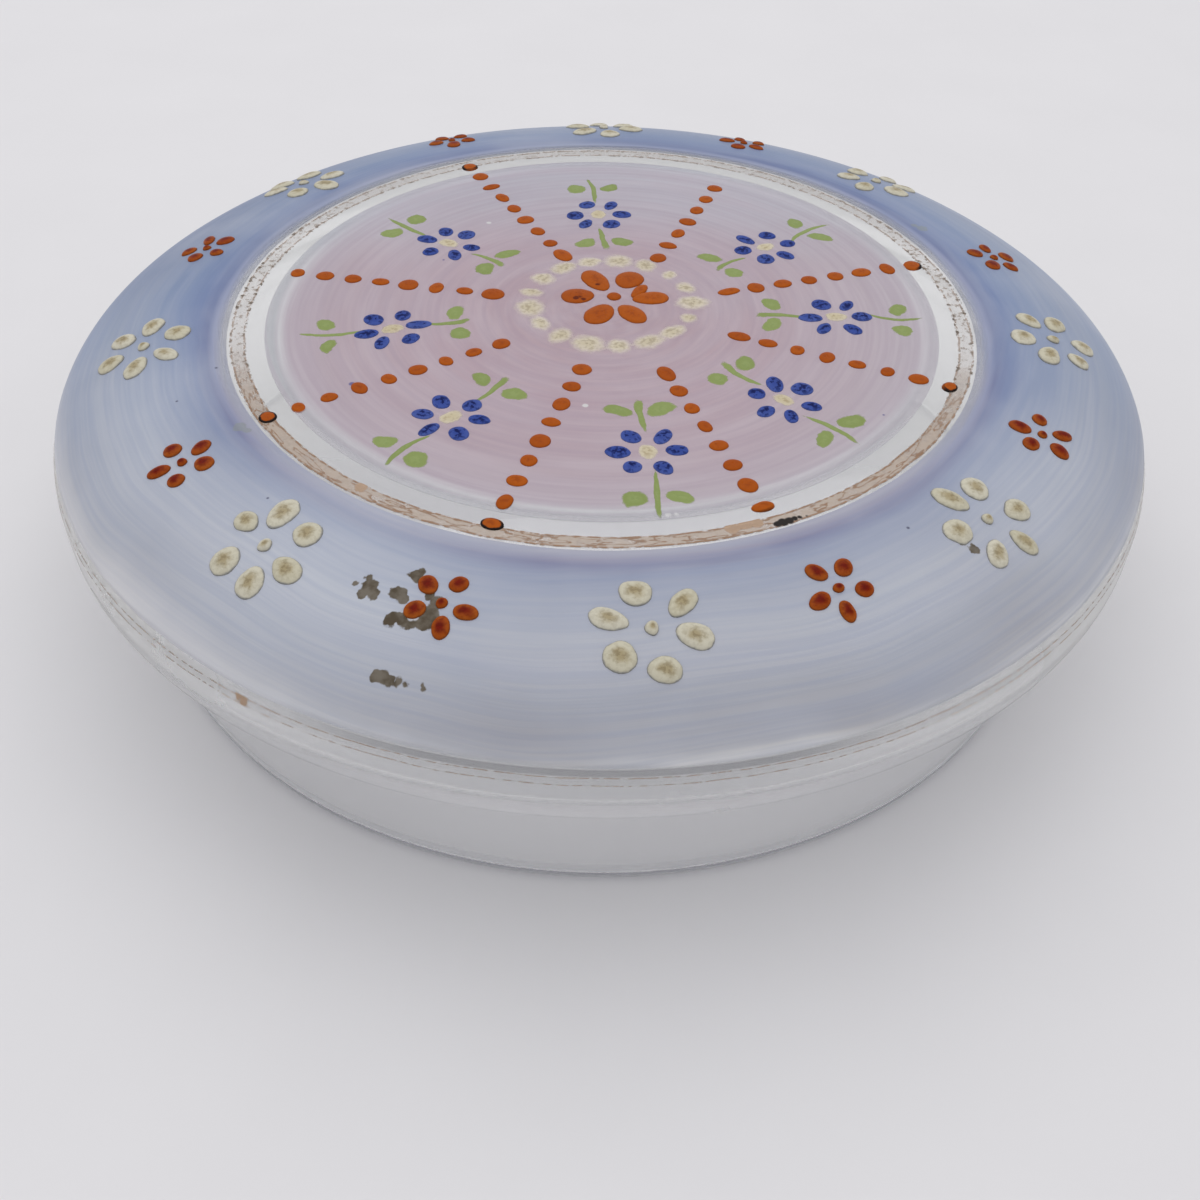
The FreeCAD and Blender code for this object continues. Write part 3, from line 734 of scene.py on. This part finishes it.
rubbed = between(wear, grain(wear, given["Place"], 420.0, 5.0), 0.25, 0.60, 0.45, 1.0)
inside = between(wear, edge, 0.36, 0.46, 1.0, 0.0)
wear.links.new(calc(wear, "MULTIPLY", rubbed, inside), result.inputs["Film"])
round_place = vector(wear, "NORMALIZE", vector(wear, "MULTIPLY", given["Place"], (1.0, 1.0, 0.0)))
upward = joined(wear, Z=calc(wear, "MULTIPLY", given["Share"], 2.2))
wave = grain(wear, vector(wear, "ADD", scaled(wear, round_place, 11.0), upward), 1.0, 4.0)
wave = calc(wear, "ABSOLUTE", calc(wear, "SUBTRACT", wave, 0.5))
wear.links.new(calc(wear, "MULTIPLY", inside, between(wear, wave, 0.006, 0.035, 1.0, 0.0)), result.inputs["Waves"])
dirty = between(wear, grain(wear, given["Place"], 1900.0, 3.0), 0.53, 0.64)
near_edge = between(wear, edge, 0.16, 0.40, 0.4, 1.0)
wear.links.new(calc(wear, "MULTIPLY", dirty, near_edge), result.inputs["Dirt"])
print("worn gold:", len(wear.nodes), "nodes")

# %% [markdown]
# ## What is left of the gold
# The group's masks become one colour and one cover. The pinkish film and the wavy lines stay at the front, the dirt at
# the far side, and a few patches of gold and burnt spots lie at their own places. A bare metal shader would shine far
# too much, so most of it is a dull Principled surface that is clear where the gold has gone.

# %% Gilding finish


def gilding(name, share_of, line, film_most, waves_most, dirt_most, line_most, remnant, black):
    """Worn band over clear glass, with the largest share of each mask; remnants and black are spots."""
    material, tree, place, out = new_material(name)
    made = put(tree, "ShaderNodeGroup", {"Place": place, "Share": share_of(tree, place), "Line": line}, node_tree=wear)
    masks = made.outputs
    depth = split(tree, place)["Y"]
    near = between(tree, depth, -6.0 * MM, -26.0 * MM, 0.1, 1.0)
    far = calc(tree, "MULTIPLY", calc(tree, "SUBTRACT", 1.1, near),
               between(tree, depth, 5.0 * MM, 35.0 * MM, 1.0, 0.5))
    film = calc(tree, "MULTIPLY", masks["Film"], near, film_most)
    gold = calc(tree, "MULTIPLY", masks["Line"], between(tree, near, 0.0, 1.0, line_most / 2, line_most))
    waves = calc(tree, "MULTIPLY", masks["Waves"], near, waves_most)
    dirt = calc(tree, "MULTIPLY", masks["Dirt"], far, dirt_most)
    kept = spots_mask(tree, place, remnant, 0.8)
    burnt = spots_mask(tree, place, black, 0.5)
    colour = mixed(tree, calc(tree, "MAXIMUM", gold, waves), tint(196, 180, 166), tint(146, 112, 86))
    colour = mixed(tree, kept, colour, tint(184, 156, 132))
    colour = mixed(tree, dirt, colour, tint(106, 96, 86))
    colour = mixed(tree, burnt, colour, tint(38, 32, 30))
    cover = calc(tree, "MAXIMUM", film, gold, waves, dirt, calc(tree, "MULTIPLY", kept, 0.8), burnt)
    shader = put(tree, "ShaderNodeBsdfPrincipled", {
        "Base Color": colour,
        "Metallic": calc(tree, "MULTIPLY", gold, 0.3),
        "Roughness": between(tree, masks["Film"], 0.0, 1.0, 0.5, 0.36),
        "Specular IOR Level": 0.1,
        "Alpha": cover,
    })
    tree.links.new(shader.outputs[0], out.inputs["Surface"])
    return material


print("gilding finish ready")

# %% [markdown]
# ## Gilt bands
# One band is a flat ring on the top, the other a strip on the turn of the shoulder. Both are thin turned skins, and
# differ in the share that tells how far across the band a point is: distance from the axis on the top, height at the
# rim.

# %% Gilt bands
GILDING = 0.06 * MM
RING_INNER, RING_OUTER = 41.7 * MM, 43.6 * MM
RIM_FROM, RIM_TO = 8.2 * MM, 9.2 * MM


def ring_share(tree, place):
    """Share of the way across the ring on the top."""
    return portion(tree, from_axis(tree, place), RING_INNER, RING_OUTER)


def rim_share(tree, place):
    """Share of the way down the band at the rim."""
    return portion(tree, split(tree, place)["Z"], TOP - RIM_FROM, TOP - RIM_TO)


def rim_line(lift):
    """Section of the band at the rim at a lift above the glass."""
    return bow(TURN_X, WIDEST, TURN + lift, turn_angle(RIM_FROM), turn_angle(RIM_TO), 6)


ring_gold = gilding(
    "ring_gilding", ring_share, 0.09, film_most=0.7, waves_most=0.9, dirt_most=1.0, line_most=0.9,
    remnant=((14.0, -39.6, 0.8), (12.8, -40.2, 0.8), (15.2, -39.4, 0.7), (-24.0, -34.8, 0.7)),
    black=((17.3, -39.5, 0.45), (17.8, -39.2, 0.55), (18.4, -38.9, 0.5), (19.0, -38.6, 0.35), (19.5, -38.4, 0.25),
           (20.2, -38.2, 0.15)),
)
rim_gold = gilding(
    "rim_gilding", rim_share, 0.06, film_most=0.0, waves_most=0.0, dirt_most=0.0, line_most=0.6,
    remnant=((-32.8, -55.5, 0.5), (-33.4, -55.2, 0.4)),
    black=((-48.7, -42.2, 0.2), (-44.6, -46.5, 0.15)),
)
ring_piece = turned("gilt_ring", disc(RING_INNER, RING_OUTER, STANDOFF, GILDING), STEPS, ring_gold)
settle(ring_piece, "gilding", "ring_gilding")
rim_piece = turned("gilt_rim", skin(rim_line(GILDING), rim_line(STANDOFF)), CLOSE_STEPS, rim_gold)
settle(rim_piece, "gilding", "rim_gilding")

# %% [markdown]
# ## Where the drops lie
# Each flower of the solid model is a group of separate drops. The drops made here have to lie on the same places, so
# the first step reads them off the frame: every loose island of a node gives a centre, a long direction, two half
# sizes and a height above the coat.

# %% Places of the drops


def surface_frame(x, y):
    """Directions outwards, aside and away from the painted surface at a place."""
    reach = math.hypot(x, y)
    lean = math.asin(max(0.0, reach - FLAT) / CROWN)
    angle = math.atan2(y, x)
    outward = Vector((math.cos(lean) * math.cos(angle), math.cos(lean) * math.sin(angle), -math.sin(lean)))
    aside = Vector((-math.sin(angle), math.cos(angle), 0.0))
    return outward, aside, outward.cross(aside)


def islands(node):
    """Corner points of each loose island of a node."""
    copy = bmesh.new()
    copy.from_mesh(nodes[node].data)
    bmesh.ops.remove_doubles(copy, verts=copy.verts, dist=0.001 * MM)
    seen = set()
    groups = []
    for first in copy.verts:
        if first in seen:
            continue
        seen.add(first)
        queue = [first]
        for corner in queue:
            others = [edge.other_vert(corner) for edge in corner.link_edges]
            fresh = [other for other in others if other not in seen]
            seen.update(fresh)
            queue += fresh
        groups.append(np.array([corner.co.copy() for corner in queue]))
    copy.free()
    return groups


def drop_place(group, heart):
    """Foot point, axes and half sizes of one drop; its long axis points away from the motif's heart."""
    middle = (group.min(0) + group.max(0)) / 2
    axes = np.array(surface_frame(middle[0], middle[1]))
    local = group @ axes.T
    low, high = local.min(0), local.max(0)
    plan = local[:, :2] - (low[:2] + high[:2]) / 2
    long = np.linalg.eigh(plan.T @ plan)[1][:, 1]
    centre = np.array([*((low[:2] + high[:2]) / 2), low[2]]) @ axes
    away = (centre - heart) @ axes.T
    if away[:2] @ long < 0:
        long = -long
    across = np.array([-long[1], long[0]])
    forward = axes.T @ np.array([*long, 0.0])
    side = axes.T @ np.array([*across, 0.0])
    sizes = (abs(plan @ long).max(), abs(plan @ across).max(), high[2] - low[2])
    return centre, np.array([forward, side, axes[2]]).T, sizes


def motifs(kind):
    """Names of all the nodes of one kind of motif."""
    return [name for name in nodes if name.startswith(kind)]


rays = motifs("ray_")
print("rays:", len(rays), "with", [len(islands(name)) for name in rays], "dots")

# %% [markdown]
# ## Points for the drops
# The laying tree wants one point for each drop, so a mesh of points carries what was measured as attributes: how the
# drop is turned, how large it is, and a number of its own. Multiples of the golden ratio spread those numbers evenly
# without chance. Real drops ran out a little, and the long stem strokes start nearer to the flower.

# %% Points for the drops
GOLDEN = 0.618034
STEM_EXTRA = 0.4


def spread_out(centre, axes, sizes, longer, broader):
    """A drop that ran out a little; a long stroke starts nearer to the heart instead."""
    length, width, height = sizes
    if length > 3 * width:
        return centre - axes[:, 0] * length * STEM_EXTRA, axes, (length * (1 + STEM_EXTRA), width, height)
    return centre, axes, (length * longer, width * broader, height)


def drops_mesh(name, wanted, extra, longer, broader):
    """Points of all the drops in the wanted nodes, with turn, spread and grain attributes."""
    found = []
    for node in wanted:
        groups = islands(node)
        heart = np.mean([(g.min(0) + g.max(0)) / 2 for g in groups], axis=0)
        found += [spread_out(*drop_place(group, heart), longer, broader) for group in groups]
    found += extra
    mesh = bpy.data.meshes.new(name)
    mesh.from_pydata([tuple(centre) for centre, _, _ in found], [], [])
    turns = [value for _, axes, _ in found for value in Matrix(axes.tolist()).to_euler()]
    spreads = [value for _, _, sizes in found for value in sizes]
    mesh.attributes.new("turn", "FLOAT_VECTOR", "POINT").data.foreach_set("vector", turns)
    mesh.attributes.new("spread", "FLOAT_VECTOR", "POINT").data.foreach_set("vector", spreads)
    seeds = [(index * GOLDEN) % 1.0 for index in range(len(found))]
    mesh.attributes.new("grain", "FLOAT", "POINT").data.foreach_set("value", seeds)
    return mesh


print("numbers of the first drops:", [round(index * GOLDEN % 1.0, 2) for index in range(5)])

# %% [markdown]
# ## One tree for all drops
# A drop of thick enamel stands up steeply at its edge, is rounded on top and often sinks a little in the middle. Each
# could be sculpted, but there are hundreds, so one tree lays them all. It first shapes one dome from a sphere, and
# keeps two attributes on it: how near the edge a point is, for the finish, and where it lay on the sphere.

# %% One drop
laying, given, result = node_group(
    "laid enamel drops",
    "GeometryNodeTree",
    [("Places", "NodeSocketGeometry"), ("Fullness", "NodeSocketFloat"), ("Sunk middle", "NodeSocketFloat"),
     ("Taper", "NodeSocketFloat"), ("Thickness", "NodeSocketFloat"), ("Vary", "NodeSocketFloat"),
     ("Bend", "NodeSocketFloat"), ("Shake", "NodeSocketFloat"), ("Seed", "NodeSocketInt"),
     ("Finish", "NodeSocketMaterial")],
    [("Drops", "NodeSocketGeometry")],
)
ball = put(laying, "GeometryNodeMeshUVSphere", {"Segments": 24, "Rings": 12}).outputs["Mesh"]
here = put(laying, "GeometryNodeInputPosition").outputs[0]
spot = split(laying, here)
reach = calc(laying, "MINIMUM", 1.0, from_axis(laying, here))


def rest_of(value, power):
    """1 less a power of a value, and never below 0."""
    return calc(laying, "MAXIMUM", 0.0, calc(laying, "SUBTRACT", 1.0, calc(laying, "POWER", value, power)))


dome = calc(laying, "POWER", rest_of(reach, given["Fullness"]), calc(laying, "DIVIDE", 1.0, given["Fullness"]))
hollow = calc(laying, "POWER", rest_of(calc(laying, "DIVIDE", reach, 0.65), 2.0), 2.0)
dome = calc(laying, "SUBTRACT", dome, calc(laying, "MULTIPLY", hollow, given["Sunk middle"]))
under = calc(laying, "LESS_THAN", spot["Z"], -0.01)
upright = calc(laying, "SUBTRACT", calc(laying, "MULTIPLY", dome, calc(laying, "SUBTRACT", 1.0, under)),
               calc(laying, "MULTIPLY", under, 0.12))
narrow = calc(laying, "ADD", 1.0, calc(laying, "MULTIPLY", given["Taper"], spot["X"]))
moulded = joined(laying, X=spot["X"], Y=calc(laying, "MULTIPLY", spot["Y"], narrow), Z=upright)
one = ball
for title, value, kind in (("edge", reach, "FLOAT"), ("plan", here, "FLOAT_VECTOR")):
    one = put(laying, "GeometryNodeStoreNamedAttribute", {"Geometry": one, "Name": title, "Value": value},
              data_type=kind, domain="POINT").outputs[0]
one = put(laying, "GeometryNodeSetPosition", {"Geometry": one, "Position": moulded}).outputs[0]
print("one drop:", len(laying.nodes), "nodes")

# %% [markdown]
# ## Copies on their places
# A copy of the dome stands on every point, turned and spread as the point says and varied a little by chance with a
# fixed seed. The copies are then made real, because the next step moves their points one by one.

# %% Copies


def stored(name, kind="FLOAT_VECTOR"):
    """A value that the points or the drops carry."""
    return put(laying, "GeometryNodeInputNamedAttribute", {"Name": name}, data_type=kind).outputs[0]


spread = stored("spread")
swing = put(laying, "FunctionNodeEulerToRotation", {0: stored("turn")}).outputs[0]
chance = put(laying, "FunctionNodeRandomValue", {0: (-1.0, -1.0, 0.0), 1: (1.0, 1.0, 0.0), "Seed": given["Seed"]},
             data_type="FLOAT_VECTOR").outputs[0]
varied = vector(laying, "ADD", scaled(laying, chance, given["Vary"]), (1.0, 1.0, 1.0))
thick = joined(laying, X=1.0, Y=1.0, Z=given["Thickness"])
size = vector(laying, "MULTIPLY", vector(laying, "MULTIPLY", spread, thick), varied)
copies = put(laying, "GeometryNodeInstanceOnPoints", {
    "Points": given["Places"],
    "Instance": one,
    "Rotation": swing,
    "Scale": size,
}).outputs[0]
whole = put(laying, "GeometryNodeRealizeInstances", {0: copies}).outputs[0]
print("with copies:", len(laying.nodes), "nodes")

# %% [markdown]
# ## Strokes and outlines
# The long strokes of the stems are bent, each its own way, and end fuller, most of all near the middle of the lid,
# where the brush was pressed. Noise then shakes all outlines a little, so that no two drops match. On the joined drops
# the field that was the distance from a dome's middle is the distance from the axis of the lid.

# %% Strokes and outlines
plan = split(laying, stored("plan"))
half = split(laying, spread)
stroke = portion(laying, calc(laying, "DIVIDE", half["X"], half["Y"]), 2.5, 5.0)
ahead = calc(laying, "POWER", calc(laying, "MAXIMUM", plan["X"], 0.0), 2.0)
club = calc(laying, "MULTIPLY", between(laying, reach, 22.0 * MM, 30.0 * MM, 2.4, 0.4), ahead)
fuller = calc(laying, "MULTIPLY", plan["Y"], half["Y"], stroke, club)
own = calc(laying, "SUBTRACT", stored("grain", "FLOAT"), 0.5)
bowed = calc(laying, "MULTIPLY", half["X"], given["Bend"], own, calc(laying, "POWER", plan["X"], 2.0))
aside = joined(laying, Y=calc(laying, "ADD", fuller, bowed))
aside = put(laying, "FunctionNodeRotateVector", {"Vector": aside, "Rotation": swing}).outputs[0]
shaken = put(laying, "ShaderNodeTexNoise", {"Vector": here, "W": given["Seed"], "Scale": 620.0, "Detail": 1.0},
             noise_dimensions="4D").outputs["Color"]
shaken = scaled(laying, vector(laying, "SUBTRACT", shaken, (0.5, 0.5, 0.5)), given["Shake"])
moved = vector(laying, "ADD", aside, vector(laying, "MULTIPLY", shaken, (1.0, 1.0, 0.0)))
whole = put(laying, "GeometryNodeSetPosition", {"Geometry": whole, "Offset": moved}).outputs[0]
smooth = put(laying, "GeometryNodeSetShadeSmooth", {0: whole}).outputs[0]
dressed = put(laying, "GeometryNodeSetMaterial", {"Geometry": smooth, "Material": given["Finish"]}).outputs[0]
laying.links.new(dressed, result.inputs[0])


def laid(name, wanted, material, extra=(), longer=1.0, broader=1.0, **look):
    """Enamel drops on the places of the wanted nodes."""
    values = {"Fullness": 2.2, "Sunk middle": 0.0, "Taper": 0.0, "Thickness": 1.0, "Vary": 0.1, "Bend": 0.0,
              "Shake": 0.25 * MM, "Seed": 1}
    values.update({title.replace("_", " "): value for title, value in look.items()})
    places = drops_mesh(f"{name}_places", wanted, list(extra), longer, broader)
    return finished(name, places, laying, {**values, "Finish": material})


print("laying tree:", len(laying.nodes), "nodes")

# %% [markdown]
# ## Fired enamel
# All the enamels are glassy, with pits and a few dark specks, a thin darker line where the drop meets the coat, and a
# heart that fired thinner or caught dirt. One group gives those masks from the edge attribute, and each colour mixes
# them its own way.

# %% Enamel group
firing, given, result = node_group(
    "fired enamel",
    "ShaderNodeTree",
    [("Place", "NodeSocketVector"), ("Edge", "NodeSocketFloat"), ("Heart size", "NodeSocketFloat")],
    [("Heart", "NodeSocketFloat"), ("Outline", "NodeSocketFloat"), ("Specks", "NodeSocketFloat"),
     ("Height", "NodeSocketFloat"), ("Body", "NodeSocketFloat")],
)
cloud = grain(firing, given["Place"], 1500.0, 3.0)
pits = grain(firing, given["Place"], 2300.0, 3.0)
unrest = calc(firing, "SUBTRACT", cloud, 0.5)
body_edge = calc(firing, "ADD", given["Edge"], calc(firing, "MULTIPLY", unrest, 0.4))
heart_edge = calc(firing, "ADD", given["Edge"], calc(firing, "MULTIPLY", unrest, 0.7))
rim_edge = calc(firing, "ADD", given["Edge"], calc(firing, "MULTIPLY", unrest, 0.2))
heart = between(firing, calc(firing, "DIVIDE", heart_edge, given["Heart size"]), 0.2, 1.4, 1.0, 0.0)
firing.links.new(heart, result.inputs["Heart"])
firing.links.new(between(firing, rim_edge, 0.90, 1.0), result.inputs["Outline"])
dark = between(firing, pits, 0.47, 0.58)
firing.links.new(calc(firing, "MULTIPLY", dark, calc(firing, "ADD", heart, 0.35)), result.inputs["Specks"])
firing.links.new(calc(firing, "ADD", cloud, calc(firing, "MULTIPLY", pits, 0.4)), result.inputs["Height"])
firing.links.new(calc(firing, "SUBTRACT", 1.0, body_edge), result.inputs["Body"])
print("firing group:", len(firing.nodes), "nodes")

# %% [markdown]
# ## Finish of an enamel
# Every enamel is one function with its own colours, so that all of them age alike. Enamel that was laid thin lets the
# coat show at its edge and throws no shadow on it. Where it lies on gold its edge burnt black, and bubbles burst in
# some.

# %% Enamel finish


def enamel(name, body, other, heart, outline, speck, heart_size=0.5, thin=None, black=None, burst=()):
    """Fired enamel between two colours.

    Heart, outline and speck are a colour and its share. Thin is the width of a soft margin, black the distances from
    the axis over which the edge turns black, and burst the spots of burst bubbles.
    """
    material, tree, place, out = new_material(name)
    edge, seed = [put(tree, "ShaderNodeAttribute", attribute_name=kind).outputs["Fac"] for kind in ("edge", "grain")]
    names = {"Place": place, "Edge": edge, "Heart size": heart_size}
    masks = put(tree, "ShaderNodeGroup", names, node_tree=firing).outputs
    colour = mixed(tree, seed, body, other)
    for title, (paint, share) in (("Heart", heart), ("Specks", speck), ("Outline", outline)):
        colour = mixed(tree, calc(tree, "MULTIPLY", masks[title], share), colour, paint)
    if black:
        on_gold = between(tree, from_axis(tree, place), *black)
        burnt = calc(tree, "MULTIPLY", on_gold, between(tree, masks["Body"], 0.32, 0.2))
        colour = mixed(tree, burnt, colour, tint(30, 22, 20))
    if burst:
        colour = mixed(tree, spots_mask(tree, place, burst, 1.0), colour, tint(96, 34, 10))
    bump = put(tree, "ShaderNodeBump", {"Strength": 0.2, "Distance": 0.1 * MM, "Height": masks["Height"]})
    shader = put(tree, "ShaderNodeBsdfPrincipled", {
        "Base Color": colour,
        "Roughness": between(tree, masks["Height"], 0.4, 1.0, 0.24, 0.42),
        "Specular IOR Level": 0.06,
        "Normal": bump.outputs[0],
    })
    painted = shader.outputs[0]
    if thin:
        tree.links.new(between(tree, masks["Body"], 0.0, thin), shader.inputs["Alpha"])
        clear = put(tree, "ShaderNodeBsdfTransparent").outputs[0]
        painted = blend(tree, for_light(tree), painted, clear)
    tree.links.new(painted, out.inputs["Surface"])
    return material


print("enamel reads the edge and the grain of each drop")

# %% [markdown]
# ## Orange enamel
# The rays of dots, the flower in the middle and the small flowers on the shoulder are one orange, browner where it is
# thin. The end dots of the rays lie on the gold and burnt black there. Two petals of the middle flower ran together,
# so one more drop bridges them, and a few bubbles burst. The drops on the shoulder are redder, with a dark heart.

# %% Orange pieces
orange = enamel("orange_enamel", tint(172, 84, 14), tint(160, 74, 10), (tint(156, 68, 8), 0.4),
                (tint(142, 76, 36), 0.5), (tint(128, 54, 8), 0.35), black=(40.4 * MM, 41.4 * MM),
                burst=((-3.2, 1.9, 0.3), (-2.7, 2.2, 0.25), (-2.4, 1.7, 0.25), (-0.7, 5.2, 0.25)))
orange_deep = enamel("deep_orange_enamel", tint(164, 84, 26), tint(154, 70, 18), (tint(106, 10, 0), 0.95),
                     (tint(116, 70, 40), 0.5), (tint(88, 18, 2), 0.4), heart_size=0.7)
ray_piece = laid("ray_dots", rays, orange, longer=1.05, broader=1.05, Thickness=0.6, Vary=0.2, Shake=0.25 * MM,
                 Seed=2)
settle(ray_piece, "orange_enamel", *rays)

bridge = (
    np.array((4.4 * MM, 4.1 * MM, TOP + COAT)),
    np.array(((0.5, -0.87, 0.0), (0.87, 0.5, 0.0), (0.0, 0.0, 1.0))),
    (1.8 * MM, 0.75 * MM, 0.5 * MM),
)
middle_piece = laid("middle_flower", ["centre_flower"], orange, extra=[bridge], longer=1.1, broader=1.08, Vary=0.06,
                    Thickness=0.6, Taper=0.12, Shake=0.35 * MM, Seed=3)
settle(middle_piece, "orange_enamel", "centre_flower")

orange_flowers = motifs("orange_flower_")
orange_piece = laid("orange_flowers", orange_flowers, orange_deep, broader=1.05, Thickness=0.8, Vary=0.14,
                    Shake=0.25 * MM, Seed=4)
settle(orange_piece, "orange_enamel", *orange_flowers)

# %% [markdown]
# ## Cream enamel
# Cream was laid thickest: the large petals on the shoulder, the wreath in the middle, which has sunk and spread, and
# the flat eyes of the blue posies. Their hearts are tan, pitted and dirty, and a grey line runs round them.

# %% Cream pieces
cream = enamel("cream_enamel", tint(206, 201, 184), tint(196, 190, 168), (tint(150, 132, 92), 0.75),
               (tint(124, 126, 132), 0.7), (tint(118, 104, 76), 0.35), heart_size=0.55)
cream_thin = enamel("thin_cream_enamel", tint(214, 204, 190), tint(206, 195, 180), (tint(190, 178, 146), 0.6),
                    (tint(200, 186, 182), 0.3), (tint(136, 120, 96), 0.35), heart_size=0.6, thin=0.55)
cream_eye = enamel("eye_cream_enamel", tint(206, 196, 172), tint(198, 186, 160), (tint(190, 176, 140), 0.5),
                   (tint(196, 182, 180), 0.4), (tint(150, 130, 100), 0.4), heart_size=0.6, thin=0.3)
cream_flowers = motifs("cream_flower_")
cream_piece = laid("cream_flowers", cream_flowers, cream, Fullness=2.0, Sunk_middle=0.06, Taper=0.12, Thickness=0.8,
                   Vary=0.14, Shake=0.4 * MM, Seed=5)
settle(cream_piece, "cream_enamel", *cream_flowers)

wreath_piece = laid("wreath", ["centre_wreath"], cream_thin, longer=1.5, broader=1.5, Fullness=1.2, Thickness=0.3,
                    Vary=0.36, Shake=0.6 * MM, Seed=6)
settle(wreath_piece, "cream_enamel", "centre_wreath")

eyes = motifs("posy_eye_")
eye_piece = laid("posy_eyes", eyes, cream_eye, longer=1.15, broader=1.2, Thickness=0.4, Vary=0.12,
                 Shake=0.5 * MM, Seed=7)
settle(eye_piece, "cream_enamel", *eyes)

# %% [markdown]
# ## Blue and green enamel
# The posies have cobalt petals, darker where the colour pooled, and leaves of a thin see-through green that lets the
# lilac show. The leaves lie flat and ran out a little, and the long strokes of the stems are bent, each its own way.

# %% Posies
cobalt = enamel("cobalt_enamel", tint(60, 80, 154), tint(76, 94, 162), (tint(30, 54, 130), 0.6),
                (tint(92, 104, 162), 0.5), (tint(8, 22, 82), 0.9), heart_size=0.8)
green = enamel("green_enamel", tint(138, 152, 92), tint(132, 146, 86), (tint(146, 160, 104), 0.5),
               (tint(150, 160, 118), 0.2), (tint(120, 136, 78), 0.25), thin=0.2)
posy_petals = motifs("posy_petals_")
petal_piece = laid("blue_petals", posy_petals, cobalt, Thickness=0.55, Vary=0.16, Shake=0.35 * MM, Seed=8)
settle(petal_piece, "cobalt_enamel", *posy_petals)

posy_leaves = motifs("posy_leaves_")
leaf_piece = laid("green_leaves", posy_leaves, green, longer=1.08, broader=1.25, Fullness=1.2, Thickness=0.25,
                  Vary=0.14, Bend=0.5, Shake=0.5 * MM, Seed=9)
settle(leaf_piece, "green_enamel", *posy_leaves)

# %% [markdown]
# ## Table
# The lid stands on a pale, faintly mottled table. It only has to catch the shadow and fill the picture, so one large
# face does.

# %% Table
table_paint, tree, place, out = new_material("pale_table")
mottle = grain(tree, place, 40.0, 4.0)
surface = put(tree, "ShaderNodeBsdfPrincipled", {
    "Base Color": mixed(tree, mottle, tint(228, 226, 228), tint(223, 221, 223)),
    "Roughness": 0.6,
})
tree.links.new(surface.outputs[0], out.inputs["Surface"])
face = bpy.data.meshes.new("table")
face.from_pydata([(-3, -3, 0), (3, -3, 0), (3, 3, 0), (-3, 3, 0)], [], [(0, 1, 2, 3)])
face.materials.append(table_paint)
table = bpy.data.objects.new("table", face)
bpy.context.scene.collection.objects.link(table)
print("table:", len(face.polygons), "face")

# %% [markdown]
# ## Light
# Soft light from above and a little behind throws a soft shadow to the front, and the world is an even pale grey that
# fills the shadows. One large square lamp is enough, because the shadow has no sharp edge.

# %% Light
world = bpy.data.worlds.new("soft_room")
world.use_nodes = True
room = world.node_tree
room.nodes.clear()
sky = put(room, "ShaderNodeBackground", {"Color": (0.97, 0.98, 1.0, 1.0), "Strength": 0.66})
room.links.new(sky.outputs[0], put(room, "ShaderNodeOutputWorld").inputs["Surface"])
bpy.context.scene.world = world

lamp = bpy.data.lights.new("window", "AREA")
lamp.size = 1.3
lamp.energy = 5.0
window = bpy.data.objects.new("window", lamp)
window.location = (-0.05, 0.22, 0.95)
window.rotation_euler = (Vector((0, 0, 0.02)) - window.location).to_track_quat("-Z", "Y").to_euler()
bpy.context.scene.collection.objects.link(window)
bpy.context.scene.view_settings.view_transform = "Standard"
print("window:", lamp.energy, "W")

# %% [markdown]
# ## Camera
# The camera stands close, looks down by about 43 degrees and is turned a degree about its own axis. A Track To
# constraint couldn't hold that last turn, so the matrix is built from the three angles.

# %% Camera
EYE = Vector((-0.00076, -0.1368, 0.1148))
PITCH, YAW, ROLL = math.radians(43.36), math.radians(0.49), math.radians(1.19)
forward = Vector((math.sin(YAW) * math.cos(PITCH), math.cos(YAW) * math.cos(PITCH), -math.sin(PITCH)))
level = Vector((math.cos(YAW), -math.sin(YAW), 0.0))
upward = level.cross(forward)
right = level * math.cos(ROLL) + upward * math.sin(ROLL)
upward = upward * math.cos(ROLL) - level * math.sin(ROLL)
lens = bpy.data.cameras.new("camera")
lens.lens = 39.0
lens.sensor_width = 36.0
lens.clip_start = 0.01
camera = bpy.data.objects.new("camera", lens)
camera.matrix_world = Matrix((
    (right.x, upward.x, -forward.x, EYE.x),
    (right.y, upward.y, -forward.y, EYE.y),
    (right.z, upward.z, -forward.z, EYE.z),
    (0, 0, 0, 1),
))
bpy.context.scene.collection.objects.link(camera)
bpy.context.scene.camera = camera
print("camera at", [round(c, 3) for c in EYE])
